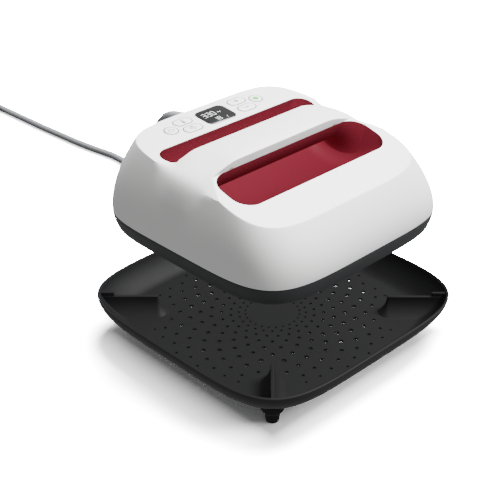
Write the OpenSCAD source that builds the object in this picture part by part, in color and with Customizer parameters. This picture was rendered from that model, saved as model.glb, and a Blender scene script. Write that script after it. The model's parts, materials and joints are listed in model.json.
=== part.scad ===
// Hand heat press held above its perforated base, with its mains lead.
// Origin on the table under the middle of the base, +X to the user's right, +Y to the back, +Z up.

/* [Base] */
// How far the base's rim reaches past the skirt, on each side
base_over = 22.7; // [20:0.1:40]
// Squareness of the base outline seen from above, higher is squarer
base_square = 4.8; // [4.2:0.1:6]
// Height of the rim above the table
rim_z = 50.5; // [47:0.5:60]
// Thickness of the base wall
base_wall = 2.5; // [2:0.1:4]
// How far the wall draws in from the rim to the underside
base_draw = 19.5; // [10:0.5:22]
// Clear height under the base
under_h = 20.5; // [15:0.5:23]
// Thickness of the base floor
floor_t = 3; // [2.5:0.1:5]
// How far the wall's inner face draws in from the rim to the floor
inner_draw = 18.5; // [16:0.5:20]
// Radius of a foot where it meets the underside
foot_top_r = 11; // [8:0.5:14]
// Radius of a foot where it stands
foot_tip_r = 6.25; // [4:0.25:8]
// How far a foot's middle lies inside the underside's corner
foot_inset = 11.74; // [11:0.01:25]

/* [Vent panel] */
// How far the perforated panel's edge lies inside the rim
vent_inset = 22.5; // [21.5:0.5:26]
// Thickness of the panel
vent_t = 1.5; // [1:0.1:2]
// Width of the ledge that the panel lies on
vent_ledge = 3.5; // [3:0.5:6]
// Gap between the panel and the floor around it
vent_fit = 0.15; // [0.05:0.05:0.3]
// Holes in each ring
vent_count = 24; // [16:1:32]
// Diameter of the smallest holes
vent_small_d = 2.4; // [1.6:0.1:3]
// Diameter of the largest holes
vent_large_d = 5.8; // [4:0.1:7]
// Radius at which the holes are largest
vent_large_at = 86; // [60:1:100]
// Solid edge kept round every hole
vent_edge = 1.5; // [1:0.1:3]

/* [Plate rests] */
// Height of a rest above the table
rest_z = 43.8; // [37:0.1:46]
// Width of a rest along its ridge
ridge_w = 3.5; // [2.5:0.1:6]
// Width of a rest on the floor
rest_foot_w = 25; // [16:0.5:30]
// How far a rest's ridge reaches in under the plate's corner
ridge_under = 28.4; // [18:0.1:34]
// How much further in a rest reaches on the floor
rest_toe = 11; // [6:0.5:16]
// Gap between the skirt's corner and the stop that centres the press
stop_gap = 9.72; // [7:0.02:13]
// Height of the stop above the ridge
stop_h = 4.7; // [2:0.1:6]

/* [Press] */
// Height at which the plate is held above the rests
lift_gap = 88.2; // [60:0.1:120]
// How far the skirt's lower edge reaches past the plate, on each side
skirt_over = 13; // [12.2:0.1:14]
// How far the skirt widens from there to the shell, on each side
skirt_draw = 3.2; // [2.2:0.1:5]
// Squareness of the skirt and shell outline seen from above
press_square = 4.9; // [4.7:0.1:6]
// Height of the skirt
skirt_h = 17.1; // [14:0.1:24]
// Thickness of the skirt wall
skirt_wall = 3; // [2:0.1:3.5]
// Thickness of the skirt's bottom flange
skirt_floor = 3; // [2:0.1:4]
// Width between the side walls at the height of the handle
roof_x = 208; // [200:1:220]
// Depth of the roof from front to back
roof_y = 210; // [204:1:220]
// Squareness of the outline at the roof, seen from above
roof_square = 5.6; // [4.8:0.1:7]
// How late the side walls curl inwards
wall_curl = 1.75; // [1.3:0.05:2.4]
// Thickness of the shell
shell_t = 3; // [2:0.1:3.5]
// Height of the roof's front edge above the skirt
front_edge_h = 46.8; // [40:0.1:52]
// Height of the roof's back edge above the skirt
back_edge_h = 76.3; // [72:0.1:82]

/* [Handle] */
// Front edge of the handle
handle_front = -17; // [-22:0.5:-12]
// Back edge of the handle
handle_back = 31; // [26:0.5:34]
// Height of the handle's front edge above the skirt
handle_front_h = 78.3; // [74:0.1:84]
// Height of the handle's back edge above the skirt
handle_back_h = 76.3; // [73:0.1:82]
// Rise of the handle's crown
handle_crown = 2.7; // [1:0.1:5]
// Height above the skirt at which the front slope meets the handle
slope_top_h = 70.3; // [66:0.1:73]
// Half of the width over which the handle's top is level
arch_flat = 50; // [30:1:70]
// Drop of the handle's top at its shoulders
arch_drop = 10; // [5:0.5:14]
// Distance behind the middle at which the shoulders end
arch_back = 38; // [35:0.5:44]
// Depth of the grip under the roof
grip_depth = 24; // [18:0.5:28]
// Front edge of the finger recess
recess_front = -66; // [-70:0.5:-62]
// Width of the finger recess in front of the handle
recess_w = 200; // [186:1:202]
// Corner radius of the finger recess
recess_r = 19; // [12:0.5:22]
// Back edge of the slot behind the handle
slot_back = 56.5; // [52:0.5:58]
// Width of the slot behind the handle
slot_w = 198; // [186:1:200]
// Corner radius of the slot behind the handle
slot_r = 12.4; // [5:0.1:12.5]
// Height of the recess floor's lowest line above the skirt
scoop_low_h = 16; // [15:0.1:24]
// Thickness of the recess liner
scoop_t = 2.5; // [2:0.1:3]
// Thickness of the handle's underside piece
liner_t = 2.5; // [2:0.1:4]
// Height of the panel's front edge above the skirt
panel_front_h = 70.9; // [67:0.1:74]

/* [Heat plate] */
// Width of the heat plate
plate_w = 228.6; // [220:0.1:229]
// Thickness of the heat plate
plate_t = 10; // [8:0.5:12]
// Corner radius of the heat plate
plate_r = 32; // [30:0.5:36]
// How far the plate stands below the skirt
plate_proud = 2.1; // [1:0.1:4]
// Gap between the plate and the skirt
plate_gap = 1; // [0.5:0.1:2]
// Diameter of the tubular heater
heater_d = 6.5; // [5:0.1:8]
// Width of the heater's outer loop
heater_outer_w = 176; // [150:1:190]
// Width of the heater's inner loop
heater_inner_w = 96; // [70:1:110]
// Corner radius of the heater loops
heater_r = 22; // [14:0.5:30]
// Thickness of the insulation
blanket_t = 8; // [5:0.5:8]
// How far the insulation and the shield over it lie inside the plate's edge
shield_inset = 5.3; // [4:0.1:14]
// Thickness of the heat shield
shield_t = 1; // [0.6:0.1:1.5]

/* [Controls] */
// Width of the display
display_w = 35; // [28:0.5:40]
// Depth of the display
display_d = 28; // [20:0.5:30]
// Corner radius of the display
display_r = 4; // [2:0.5:6]
// Middle of the display, from the middle of the press
display_y = 80; // [76:0.5:84]
// Width of a long key
pill_w = 22; // [16:0.5:24]
// Depth of a long key
pill_d = 11.5; // [8:0.5:13]
// Distance of the long keys from the middle, sideways
pill_x = 37; // [34:0.5:39]
// Middle of the back row of long keys
pill_back_y = 88.5; // [87:0.5:91]
// Middle of the front row of long keys
pill_front_y = 72.5; // [70:0.5:74]
// Diameter of a round key
dot_d = 13.5; // [10:0.5:14]
// Distance of the round keys from the middle, sideways
dot_x = 58; // [56:0.5:62]
// Middle of the round keys
dot_y = 82; // [78:0.5:86]
// Gap round a key
key_gap = 0.3; // [0.2:0.05:0.5]
// How far a key stands above the panel
key_proud = 0.4; // [0:0.1:0.8]
// Travel of a key
key_travel = 0.8; // [0.4:0.1:1.2]
// Width of the key's flange behind the panel
key_flange = 1.2; // [0.8:0.1:1.6]

/* [Lead] */
// Diameter of the mains lead
cord_d = 9.5; // [8:0.1:10]
// Diameter of the strain relief at the wall
relief_d = 18; // [15:0.1:20]
// Mean diameter of the coil's turns
coil_d = 108; // [100:1:118]
// Turns in each of the coil's two layers
layer_turns = 1.25; // [1:0.25:2]
// Air between neighbouring turns
turn_gap = 0.8; // [0.5:0.1:1.5]
// Thickness of the tie round the coil
tie_t = 1; // [0.6:0.1:1.5]
// Width of the tie
tie_w = 12; // [8:0.5:18]
// Length of the plug's body
plug_l = 42; // [34:1:50]
// Width of the plug's body
plug_w = 31; // [28:0.5:36]

/* [Hidden] */
$fn = 48;

fit = 0.1;
clear = 0.3;
outline_steps = 72;
wall_steps = 6;

// Heights that follow from the stack of pieces
floor_z = under_h + floor_t;
plate_z = rest_z + lift_gap;
skirt_z = plate_z + plate_proud;
shell_z = skirt_z + skirt_h;
plate_top = plate_z + plate_t;
heater_sink = 1;
blanket_z = plate_top - heater_sink + heater_d / 2 + 0.75;
shield_z = blanket_z + blanket_t;
board_lift = 8;
power_z = shield_z + shield_t + board_lift;

// Widths that follow from the plate's, and places along the diagonals
skirt_low_w = plate_w + 2 * skirt_over;
skirt_top_w = skirt_low_w + 2 * skirt_draw;
shield_w = plate_w - 2 * shield_inset;
base_w = skirt_low_w + 2 * base_over;
vent_w = base_w - 2 * vent_inset;
foot_at = (base_w / 2 - base_draw) * corner_reach(base_square) - foot_inset;
plate_reach = (plate_w / 2 - plate_r) * sqrt(2) + plate_r;
ridge_inner = plate_reach - ridge_under;
rest_inner = ridge_inner - rest_toe;
stop_at = skirt_low_w / 2 * corner_reach(press_square) + stop_gap;

function lerp(a, b, t) = a + (b - a) * t;

// A point at angle a on a square whose sides bow outwards
function bowed(hx, hy, n, a) =
  let (c = cos(a), s = sin(a), r = pow(pow(abs(c) / hx, n) + pow(abs(s) / hy, n), -1 / n))
  [r * c, r * s];
// Reach of such a square's corner, for a half-width of 1
function corner_reach(n) = pow(2, 0.5 - 1 / n);
function rooted(v, n) = sign(v) * pow(abs(v), 2 / n);
// A whole outline, with more points round its corners than on its sides
function bowed_ring(h, n) =
  [for (i = [0:outline_steps - 1]) let (a = i * 360 / outline_steps)
    h * [rooted(cos(a), n), rooted(sin(a), n)]];
function lifted(ring, z) = [for (p = ring) [p.x, p.y, z]];
function bezier(a, b, c, d, n) =
  [for (i = [0:n]) let (t = i / n, u = 1 - t)
    u * u * u * a + 3 * u * u * t * b + 3 * u * t * t * c + t * t * t * d];

// A solid through rings of equally many points, closed by flat ends
module loft(rings) {
  n = len(rings[0]);
  k = len(rings);
  polyhedron(
    [for (r = rings) each r],
    concat(
      [for (i = [0:k - 2], j = [0:n - 1]) let (a = i * n + j, b = i * n + (j + 1) % n) [a, a + n, b + n]],
      [for (i = [0:k - 2], j = [0:n - 1]) let (a = i * n + j, b = i * n + (j + 1) % n) [a, b + n, b]],
      [[for (j = [0:n - 1]) j], [for (j = [n - 1:-1:0]) (k - 1) * n + j]]
    )
  );
}

// A rectangle with round corners, centred
module rounded(w, d, r) {
  square([w - 2 * r, d], center = true);
  square([w, d - 2 * r], center = true);
  for (x = [-1, 1], y = [-1, 1]) translate([x * (w / 2 - r), y * (d / 2 - r)]) circle(r);
}

// A screw standing on its tip's end at +Z, with its head below z = 0
module screw(d, l, head_d, head_h) {
  cylinder(d = d, h = l);
  translate([0, 0, -head_h]) cylinder(d = head_d, h = head_h);
}

// Base

function base_half(z) = base_w / 2 - base_draw * (1 - sin(90 * (z - under_h) / (rim_z - under_h)));
// Half-width inside the wall, which runs into the floor in a hollow curve
function wall_half(z) = base_w / 2 - base_wall - inner_draw * pow((rim_z - z) / (rim_z - floor_z), 1.8);
diagonals = [45, 135, 225, 315];
// Flat ground left round the foot of each rest, and the width of the stop at its outer end
rest_land = 0.6;
stop_w = ridge_w - 0.8;

// The ground that a rest covers, seen from above, grown by g
module rest_ground(g) {
  for (a = diagonals) rotate(a) {
    translate([rest_inner + rest_foot_w / 2, 0]) circle(d = rest_foot_w + 2 * g);
    translate([rest_inner + rest_foot_w / 2, -rest_foot_w / 2 - g])
      square([base_w, rest_foot_w + 2 * g]);
  }
}

module vent_outline(g) {
  difference() {
    polygon(bowed_ring(vent_w / 2 + g, base_square));
    rest_ground(vent_fit + rest_land - g);
  }
}

// One level of a rest: a round-ended bar from its inner end to the middle of the base wall
function rest_level(inner, half, z, sunk = 0.5) =
  let (outer = (base_half(z) - base_wall * sunk) * corner_reach(base_square))
  concat(
    [for (a = [90:22.5:270]) [inner + half + half * cos(a), half * sin(a), z]],
    [[outer, -half, z], [outer, half, z]]
  );

module plate_rest() {
  flare = 2.2;
  levels = 6;
  root = floor_z - floor_t / 2;
  loft([for (i = [0:levels]) let (q = i / levels, e = pow(1 - q, flare))
    rest_level(
      lerp(ridge_inner, rest_inner, e),
      lerp(ridge_w, rest_foot_w, e) / 2,
      lerp(root, rest_z, q))]);
  loft([for (z = [rest_z - stop_h, rest_z + stop_h]) rest_level(stop_at, stop_w / 2, z, 0.35)]);
}

module base_tray() {
  steps = [0:wall_steps];
  outer = [for (i = steps) let (z = lerp(under_h, rim_z, i / wall_steps))
    lifted(bowed_ring(base_half(z), base_square), z)];
  inner = [for (i = steps) let (z = lerp(rim_z, floor_z, i / wall_steps))
    lifted(bowed_ring(wall_half(z), base_square), z)];
  color("#2b2c2f") {
    difference() {
      loft(concat(outer, inner));
      translate([0, 0, floor_z - vent_t]) linear_extrude(floor_t) vent_outline(vent_fit);
      translate([0, 0, under_h - 1]) linear_extrude(floor_t) vent_outline(-vent_ledge);
    }
    for (a = diagonals) rotate(a) plate_rest();
  }
}

// Radii of the rings of holes, as shares of the panel's half-width
vent_rings = [0.225, 0.279, 0.347, 0.424, 0.51, 0.599, 0.686, 0.768, 0.838, 0.902, 0.951, 0.988];
vent_radii = vent_w / 2 * vent_rings;

// Diameter of the holes at radius r, largest part of the way out
function vent_d(r) =
  let (away = r < vent_large_at ?
    (vent_large_at - r) / (vent_large_at - vent_radii[0]) : (r - vent_large_at) / (vent_w / 2 - vent_large_at))
  max(vent_small_d, lerp(vent_large_d, vent_small_d, away));

// Whether a hole of diameter d at p keeps its edge inside the panel and off the rests
function vent_room(p, d) =
  let (
    g = d / 2 + vent_edge,
    limit = vent_w / 2 - vent_ledge - g,
    along = (abs(p.x) + abs(p.y)) / sqrt(2),
    across = abs(abs(p.x) - abs(p.y)) / sqrt(2),
    tip = max(0, rest_inner + rest_foot_w / 2 - along)
  )
  pow(abs(p.x), base_square) + pow(abs(p.y), base_square) < pow(limit, base_square)
  && norm([tip, across]) > rest_foot_w / 2 + vent_ledge + g;

module vent_panel() {
  pitch = 360 / vent_count;
  color("#303134")
  translate([0, 0, floor_z - vent_t]) linear_extrude(vent_t) difference() {
    vent_outline(0);
    for (k = [0:len(vent_radii) - 1], i = [0:vent_count - 1]) {
      r = vent_radii[k];
      a = 45 + (i + (k % 2 == 0 ? 0.5 : 0)) * pitch;
      p = r * [cos(a), sin(a)];
      if (vent_room(p, vent_d(r))) translate(p) circle(d = vent_d(r), $fn = 16);
    }
  }
}

module foot(a) {
  steps = 8;
  edge = 1;
  color("#1d1e20")
  rotate(a) translate([foot_at, 0, 0]) rotate_extrude() polygon(concat(
    [[0, 0], [foot_tip_r - edge, 0]],
    [for (i = [0:steps]) let (t = i / steps)
      [lerp(foot_tip_r, foot_top_r, t * t), lerp(edge, under_h, t)]],
    [[0, under_h]]
  ));
}
module foot_front_left() foot(225);
module foot_front_right() foot(315);
module foot_back_left() foot(135);
module foot_back_right() foot(45);

// Heat plate and what lies on it

spacer_at = 70;
spacer_d = 11;
plate_screw_d = 4;
quarters = [for (x = [-1, 1], y = [-1, 1]) [x, y]];

// An open loop of tube of diameter d, ending at the back
module heater_loop(w, d) {
  end_gap = 26;
  h = w / 2 - heater_r;
  for (x = [-1, 1]) {
    translate([x * w / 2, -h, 0]) rotate([-90, 0, 0]) cylinder(d = d, h = 2 * h);
    translate([x * end_gap / 2, w / 2, 0]) rotate([0, x * 90, 0]) cylinder(d = d, h = h - end_gap / 2);
  }
  translate([-h, -w / 2, 0]) rotate([0, 90, 0]) cylinder(d = d, h = 2 * h);
  for (i = [0:3]) rotate(90 * i) translate([h, h, 0])
    rotate_extrude(angle = 90) translate([heater_r, 0]) circle(d = d);
}
module heater(d) translate([0, 0, plate_top - heater_sink]) {
  heater_loop(heater_outer_w, d);
  heater_loop(heater_inner_w, d);
}

module heat_plate() {
  edge = 1.2;
  color("#26272a") difference() {
    union() {
      translate([0, 0, plate_z + edge]) linear_extrude(plate_t - edge) rounded(plate_w, plate_w, plate_r);
      translate([0, 0, plate_z]) linear_extrude(edge)
        rounded(plate_w - 2 * edge, plate_w - 2 * edge, plate_r - edge);
    }
    heater(heater_d + 2 * fit);
    for (q = quarters) translate([q.x * spacer_at, q.y * spacer_at, plate_z + plate_t / 2])
      cylinder(d = plate_screw_d + fit, h = plate_t);
  }
}
module heating_element() color("#8c8f94") heater(heater_d);

sensor_h = 2.6;
module thermistor() color("#d8d2c0") translate([0, 0, plate_top]) {
  linear_extrude(sensor_h) rounded(18, 10, 3);
}
module thermal_fuse() {
  color("#b9bcc2") translate([22, -16, plate_top]) linear_extrude(sensor_h) rounded(8, 26, 2);
}

module spacer_holes(d) {
  for (q = quarters) translate([q.x * spacer_at, q.y * spacer_at]) circle(d = d);
}

module insulation_blanket() color("#e9e2cf")
  translate([0, 0, blanket_z]) linear_extrude(blanket_t - fit) difference() {
    rounded(shield_w, shield_w, plate_r);
    spacer_holes(spacer_d + 2 * clear);
  }

module plate_spacers() color("#efe9df")
  translate([0, 0, plate_top]) linear_extrude(shield_z - plate_top) difference() {
    spacer_holes(spacer_d);
    spacer_holes(plate_screw_d + 2 * fit);
  }

module plate_screws() color("#b5b8bd")
  for (q = quarters) translate([q.x * spacer_at, q.y * spacer_at, shield_z + shield_t])
    rotate([180, 0, 0]) screw(plate_screw_d, shield_z + shield_t - plate_top + plate_t / 2, 8, 2.6);

tab_x = 60;
tab_w = 12;
tab_screw_d = 3;
flange_top = skirt_z + skirt_floor;
flange_mid = (plate_w / 2 + plate_gap + skirt_low_w / 2 - skirt_wall) / 2;
tab_leg = plate_w / 2 + plate_gap + clear;

module heat_shield() color("#c3c6ca") {
  translate([0, 0, shield_z]) linear_extrude(shield_t) difference() {
    rounded(shield_w, shield_w, plate_r);
    spacer_holes(plate_screw_d + 2 * fit);
  }
  for (q = quarters) mirror([0, (1 - q.y) / 2, 0]) translate([q.x * tab_x - tab_w / 2, 0, 0]) {
    translate([0, shield_w / 2 - shield_t, shield_z])
      cube([tab_w, tab_leg - shield_w / 2 + 2 * shield_t, shield_t]);
    translate([0, tab_leg, flange_top]) cube([tab_w, shield_t, shield_z + shield_t - flange_top]);
    difference() {
      translate([0, tab_leg, flange_top]) cube([tab_w, skirt_low_w / 2 - skirt_wall - 1.6 - tab_leg, shield_t]);
      translate([tab_w / 2, flange_mid, flange_top - 1]) cylinder(d = tab_screw_d + 2 * fit, h = 4 * shield_t);
    }
  }
}

// Housing

boss_d = 7;
boss_top = shell_z + 22;
shell_screw_d = 3;
shell_screw_head = 5.6;
shell_screw_sink = 1.6;
screw_spots = [for (a = [0, 90, 180, 270]) flange_mid * [cos(a), sin(a)]];

module skirt() {
  edge = 1.5;
  function skirt_half(t) = lerp(skirt_low_w, skirt_top_w, sin(90 * t)) / 2;
  outer = [for (i = [0:4]) let (t = i / 4)
    lifted(bowed_ring(skirt_half(t), press_square), lerp(skirt_z + edge, shell_z, t))];
  inner = [for (i = [4:-2:0]) let (t = i / 4)
    lifted(bowed_ring(skirt_half(t) - skirt_wall, press_square), lerp(flange_top, shell_z, t))];
  color("#2e2f32") difference() {
    loft(concat([lifted(bowed_ring(skirt_low_w / 2 - edge, press_square), skirt_z)], outer, inner));
    translate([0, 0, skirt_z - 1]) linear_extrude(skirt_h)
      rounded(plate_w + 2 * plate_gap, plate_w + 2 * plate_gap, plate_r + plate_gap);
    for (p = screw_spots) translate([p.x, p.y, skirt_z - 1]) {
      cylinder(d = shell_screw_d + 2 * fit, h = skirt_h);
      cylinder(d = shell_screw_head + 2 * fit, h = 1 + shell_screw_sink);
    }
    for (q = quarters) translate([q.x * tab_x, q.y * flange_mid, skirt_z + 1])
      cylinder(d = tab_screw_d + fit, h = skirt_h);
  }
}

module shield_screws() color("#b5b8bd")
  for (q = quarters) translate([q.x * tab_x, q.y * flange_mid, flange_top + shield_t])
    rotate([180, 0, 0]) screw(tab_screw_d, shield_t + skirt_floor - 1, 5, 1.8);

module shell_screws() color("#b5b8bd")
  for (p = screw_spots) translate([p.x, p.y, skirt_z + shell_screw_sink])
    screw(shell_screw_d, boss_top - skirt_z - 10, shell_screw_head, shell_screw_sink);

panel_run = roof_y / 2 - slot_back;
panel_tilt = atan2(back_edge_h - panel_front_h, panel_run);
arch_run = 45;
arch_curl = 1.7;
// Longer than any cut through the press
far = 200;

// Heights of the flat faces in front of the handle and behind it, and of the handle's top
function slope_z(y) = shell_z + lerp(front_edge_h, slope_top_h, (y + roof_y / 2) / (handle_front + roof_y / 2));
function panel_z(y) = shell_z + lerp(panel_front_h, back_edge_h, (y - slot_back) / panel_run);
function handle_z(y) =
  let (t = (y - handle_front) / (handle_back - handle_front))
  shell_z + lerp(handle_front_h, handle_back_h, t) + 4 * handle_crown * t * (1 - t);
handle_top = handle_z((handle_front + handle_back) / 2);
function arch_z(x) = handle_top - arch_drop * pow(max(0, abs(x) - arch_flat) / arch_run, arch_curl);

// Distance of a wall from the middle, h above the skirt, where it reaches w / 2 at the height top
function wall_at(w, top, h) = skirt_top_w / 2 - (skirt_top_w - w) / 2 * pow(max(0, h) / top, wall_curl);
// The outline of the walls h above the skirt, set in by t
function wall_ring(t, h) =
  let (
    side = wall_at(roof_x, handle_front_h, h) - t,
    front = wall_at(roof_y, front_edge_h, h) - t,
    back = wall_at(roof_y, back_edge_h, h) - t,
    n = lerp(press_square, roof_square, max(0, h) / handle_front_h)
  )
  [for (i = [0:outline_steps - 1])
    let (a = i * 360 / outline_steps) bowed(side, sin(a) < 0 ? front : back, n, a)];

// Seen from the side, what lies under the roof, set in by t
module roof_side(t) {
  front = handle_front + t;
  back = handle_back - t;
  steps = 8;
  polygon(concat(
    [[-far, -far], [-far, slope_z(-far) - t], [front, slope_z(front) - t]],
    [for (i = [0:steps]) let (y = lerp(front, back, i / steps)) [y, handle_z(y) - t]],
    [[back, panel_z(back) - t], [far, panel_z(far) - t], [far, -far]]
  ));
}
// Seen from the front, what lies above the handle's arch, lowered by t
module arch_above(t) {
  steps = 12;
  polygon(concat(
    [[-far, 2 * far]],
    [for (i = [-steps:steps]) let (x = i / steps * skirt_top_w / 2) [x, arch_z(x) - t]],
    [[far, 2 * far]]
  ));
}

// The housing's outer form, set in by t, with its foot lowered by drop
module housing_form(t, steps, drop = 0) difference() {
  high = handle_top - shell_z + 1;
  levels = concat(drop > 0 ? [-drop] : [], [for (i = [0:steps]) high * i / steps]);
  intersection() {
    loft([for (h = levels) lifted(wall_ring(t, h), shell_z + h)]);
    across(2 * far) roof_side(t);
  }
  translate([0, arch_back + t, 0]) rotate([90, 0, 0]) linear_extrude(far) arch_above(t);
}

// Puts its children on the control panel at x, y, with +Z out of the panel
module on_panel(x, y) translate([x, y, panel_z(y)]) rotate([panel_tilt, 0, 0]) children();

// Seen from above, the opening that fingers use, grown by g
module grip_plan(g) {
  front_d = handle_back - recess_front;
  back_d = slot_back - handle_front;
  translate([0, (recess_front + handle_back) / 2])
    rounded(recess_w + 2 * g, front_d + 2 * g, recess_r + g);
  translate([0, (handle_front + slot_back) / 2])
    rounded(slot_w + 2 * g, back_d + 2 * g, slot_r + g);
}
module across(w) rotate([90, 0, 90]) translate([0, 0, -w / 2]) linear_extrude(w) children();

// Seen from the side, the finger space down to the liner, grown by g
module scoop_side(g) {
  top = panel_z(slot_back) + shell_t;
  front_z = slope_z(recess_front) - shell_t;
  front_pull = 30;
  // a curve of this kind reaches three quarters of the way to its handles
  pull = ((front_z + top) / 2 - shell_z - scoop_low_h) * 4 / 3;
  low = (front_z + top) / 2 - pull;
  polygon(concat(
    bezier(
      [recess_front - g, front_z - g], [recess_front + front_pull - g, low - g],
      [slot_back + g, low - g], [slot_back + g, top], 16),
    [[slot_back + g, top + far], [recess_front - g, top + far]]
  ));
}
module finger_space(g) intersection() {
  translate([0, 0, shell_z]) linear_extrude(far) grip_plan(g);
  across(2 * far) scoop_side(g);
}

module recess_scoop() color("#8e2433") difference() {
  intersection() {
    finger_space(scoop_t);
    housing_form(shell_t + fit, 4);
  }
  finger_space(0);
}

// Seen from the side, the handle's underside piece with its hollow, between the handle's front and back walls
module liner_side() {
  front_z = slope_z(handle_front) - fit;
  back_z = panel_z(handle_back) - shell_t - fit;
  pull = ((front_z + back_z) / 2 - handle_z(handle_back) + grip_depth) * 4 / 3;
  inner_front = handle_front + shell_t + fit;
  inner_back = handle_back - shell_t - fit;
  low = bezier(
    [handle_front, front_z], [handle_front + 5, front_z - pull],
    [handle_back - 7, back_z - pull], [handle_back, back_z], 16);
  middle = [(handle_front + handle_back) / 2, front_z];
  hollow = (inner_back - inner_front - 2 * liner_t) / (handle_back - handle_front);
  difference() {
    polygon(concat(low, [
      [inner_back, back_z], [inner_back, handle_top], [inner_front, handle_top], [inner_front, front_z]
    ]));
    polygon(concat(
      [for (q = low) middle + (q - middle) * hollow],
      [[inner_back - liner_t, handle_top + fit], [inner_front + liner_t, handle_top + fit]]
    ));
  }
}
module handle_liner() color("#8e2433") intersection() {
  housing_form(shell_t + fit, 4);
  across(slot_w - 2 * fit) liner_side();
  translate([0, 0, shell_z]) linear_extrude(far) grip_plan(-fit);
}

// Controls under the panel

board_drop = 12.3;
board_t = 1.6;
board_x = 148;
board_y = 38;
post_x = 68;
post_y = 16;
post_d = 6;
board_screw_d = 2.5;
pane_t = 1.5;
pane_ledge = 1.2;
key_depth = shell_t + 0.4;
flange_t = 1.1;

module board_spots()
  for (q = quarters) on_panel(0, display_y) translate([q.x * post_x, q.y * post_y, 0]) children();
module pill(g) {
  r = pill_d / 2 + g;
  square([pill_w - pill_d, 2 * r], center = true);
  for (x = [-1, 1]) translate([x * (pill_w - pill_d) / 2, 0]) circle(r);
}
module dot(g) circle(d = dot_d + 2 * g);

// Places its first child at the four long keys and its second at the two round ones
module key_places() {
  for (x = [-1, 1], y = [pill_back_y, pill_front_y]) on_panel(x * pill_x, y) children(0);
  for (x = [-1, 1]) on_panel(x * dot_x, dot_y) children(1);
}

relief_z = shell_z + 52;
relief_hole = relief_d + 2 * fit;
relief_start = roof_y / 2 + 1;

module upper_shell() color("#e9eaea") difference() {
  union() {
    difference() {
      housing_form(0, wall_steps);
      housing_form(shell_t, 4, drop = 1);
    }
    // bosses for the screws that hold the skirt
    for (p = screw_spots) translate([p.x, p.y, flange_top]) cylinder(d = boss_d, h = boss_top - flange_top);
    intersection() {
      housing_form(shell_t / 2, 4);
      for (a = [0, 90, 180, 270]) rotate(a) translate([flange_mid, -boss_d / 2, shell_z + 8])
        cube([skirt_top_w, boss_d, boss_top - shell_z - 8]);
    }
    board_spots() translate([0, 0, -board_drop]) cylinder(d = post_d, h = board_drop - shell_t / 2);
  }
  // the recess in front of the handle, also under the foot of the handle's front wall, and the slot behind it
  translate([0, (recess_front + handle_front) / 2, slope_z(recess_front) - grip_depth]) linear_extrude(far)
    rounded(recess_w, handle_front - recess_front, recess_r);
  translate([-recess_w / 2 + recess_r, handle_front - recess_r, slope_z(handle_front) - grip_depth])
    cube([recess_w - 2 * recess_r, recess_r + 2 * shell_t, grip_depth]);
  translate([0, (handle_back + slot_back) / 2, slope_z(recess_front)]) linear_extrude(far)
    rounded(slot_w, slot_back - handle_back, slot_r);
  for (p = screw_spots) translate([p.x, p.y, flange_top - 1])
    cylinder(d = shell_screw_d + fit, h = boss_top - flange_top - 2);
  board_spots() translate([0, 0, -board_drop - 1])
    cylinder(d = board_screw_d + fit, h = board_drop - shell_t - 1);
  on_panel(0, display_y) {
    translate([0, 0, -pane_t - fit]) linear_extrude(shell_t)
      rounded(display_w + 2 * fit, display_d + 2 * fit, display_r);
    translate([0, 0, -2 * shell_t]) linear_extrude(4 * shell_t)
      rounded(display_w - 2 * pane_ledge, display_d - 2 * pane_ledge, display_r - pane_ledge);
  }
  key_places() {
    translate([0, 0, -2 * shell_t]) linear_extrude(4 * shell_t) pill(key_gap);
    translate([0, 0, -2 * shell_t]) linear_extrude(4 * shell_t) dot(key_gap);
  }
  translate([0, relief_start, relief_z]) rotate([-90, 0, 0]) cylinder(d = relief_hole, h = relief_start);
}

module display_window() color("#3c3f42") on_panel(0, display_y) translate([0, 0, -pane_t])
  linear_extrude(pane_t) rounded(display_w, display_d, display_r - fit);

module display_module() color("#54585c") on_panel(0, display_y) translate([0, 0, -board_drop])
  linear_extrude(board_drop - shell_t - clear)
    square([display_w - 2 * pane_ledge - 1, display_d - 2 * pane_ledge - 1], center = true);

module control_board() color("#2f6b46") difference() {
  on_panel(0, display_y) translate([0, 0, -board_drop - board_t]) linear_extrude(board_t)
    rounded(board_x, board_y, 3);
  board_spots() translate([0, 0, -board_drop - 5]) cylinder(d = board_screw_d + 2 * fit, h = 10);
}

stem_end = key_depth + flange_t + 2;
switch_top = stem_end + key_travel + fit;
module key_switch() {
  body_h = (board_drop - switch_top) * 0.7;
  translate([-3, -3, -board_drop]) cube([6, 6, body_h]);
  translate([0, 0, -board_drop]) cylinder(d = 3.4, h = board_drop - switch_top);
}
module key_switches() color("#1f2022") key_places() {
  key_switch();
  key_switch();
}

module board_screws() color("#b5b8bd") board_spots() translate([0, 0, -board_drop - board_t])
  screw(board_screw_d, 7, 5, 1.8);

// A key whose cap has its first child's outline and whose flange has its second's
module key() {
  translate([0, 0, -key_depth]) linear_extrude(key_depth + key_proud) children(0);
  translate([0, 0, -key_depth - flange_t]) linear_extrude(flange_t) children(1);
  translate([0, 0, -stem_end]) cylinder(d = 4, h = stem_end - key_depth);
}
module pill_key(x, y) color("#eceded") on_panel(x, y) key() {
  pill(0);
  pill(key_flange);
}
module dot_key(x) color("#eceded") on_panel(x, dot_y) key() {
  dot(0);
  dot(key_flange);
}
module key_temperature() pill_key(-pill_x, pill_back_y);
module key_timer() pill_key(-pill_x, pill_front_y);
module key_plus() pill_key(pill_x, pill_back_y);
module key_minus() pill_key(pill_x, pill_front_y);
module key_power() dot_key(-dot_x);
module key_start() dot_key(dot_x);

// Power electronics behind the finger space

power_x = 120;
power_y = 44;
power_mid = 88;
standoff_x = 54;
standoff_y = 17;
standoff_d = 7;

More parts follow.
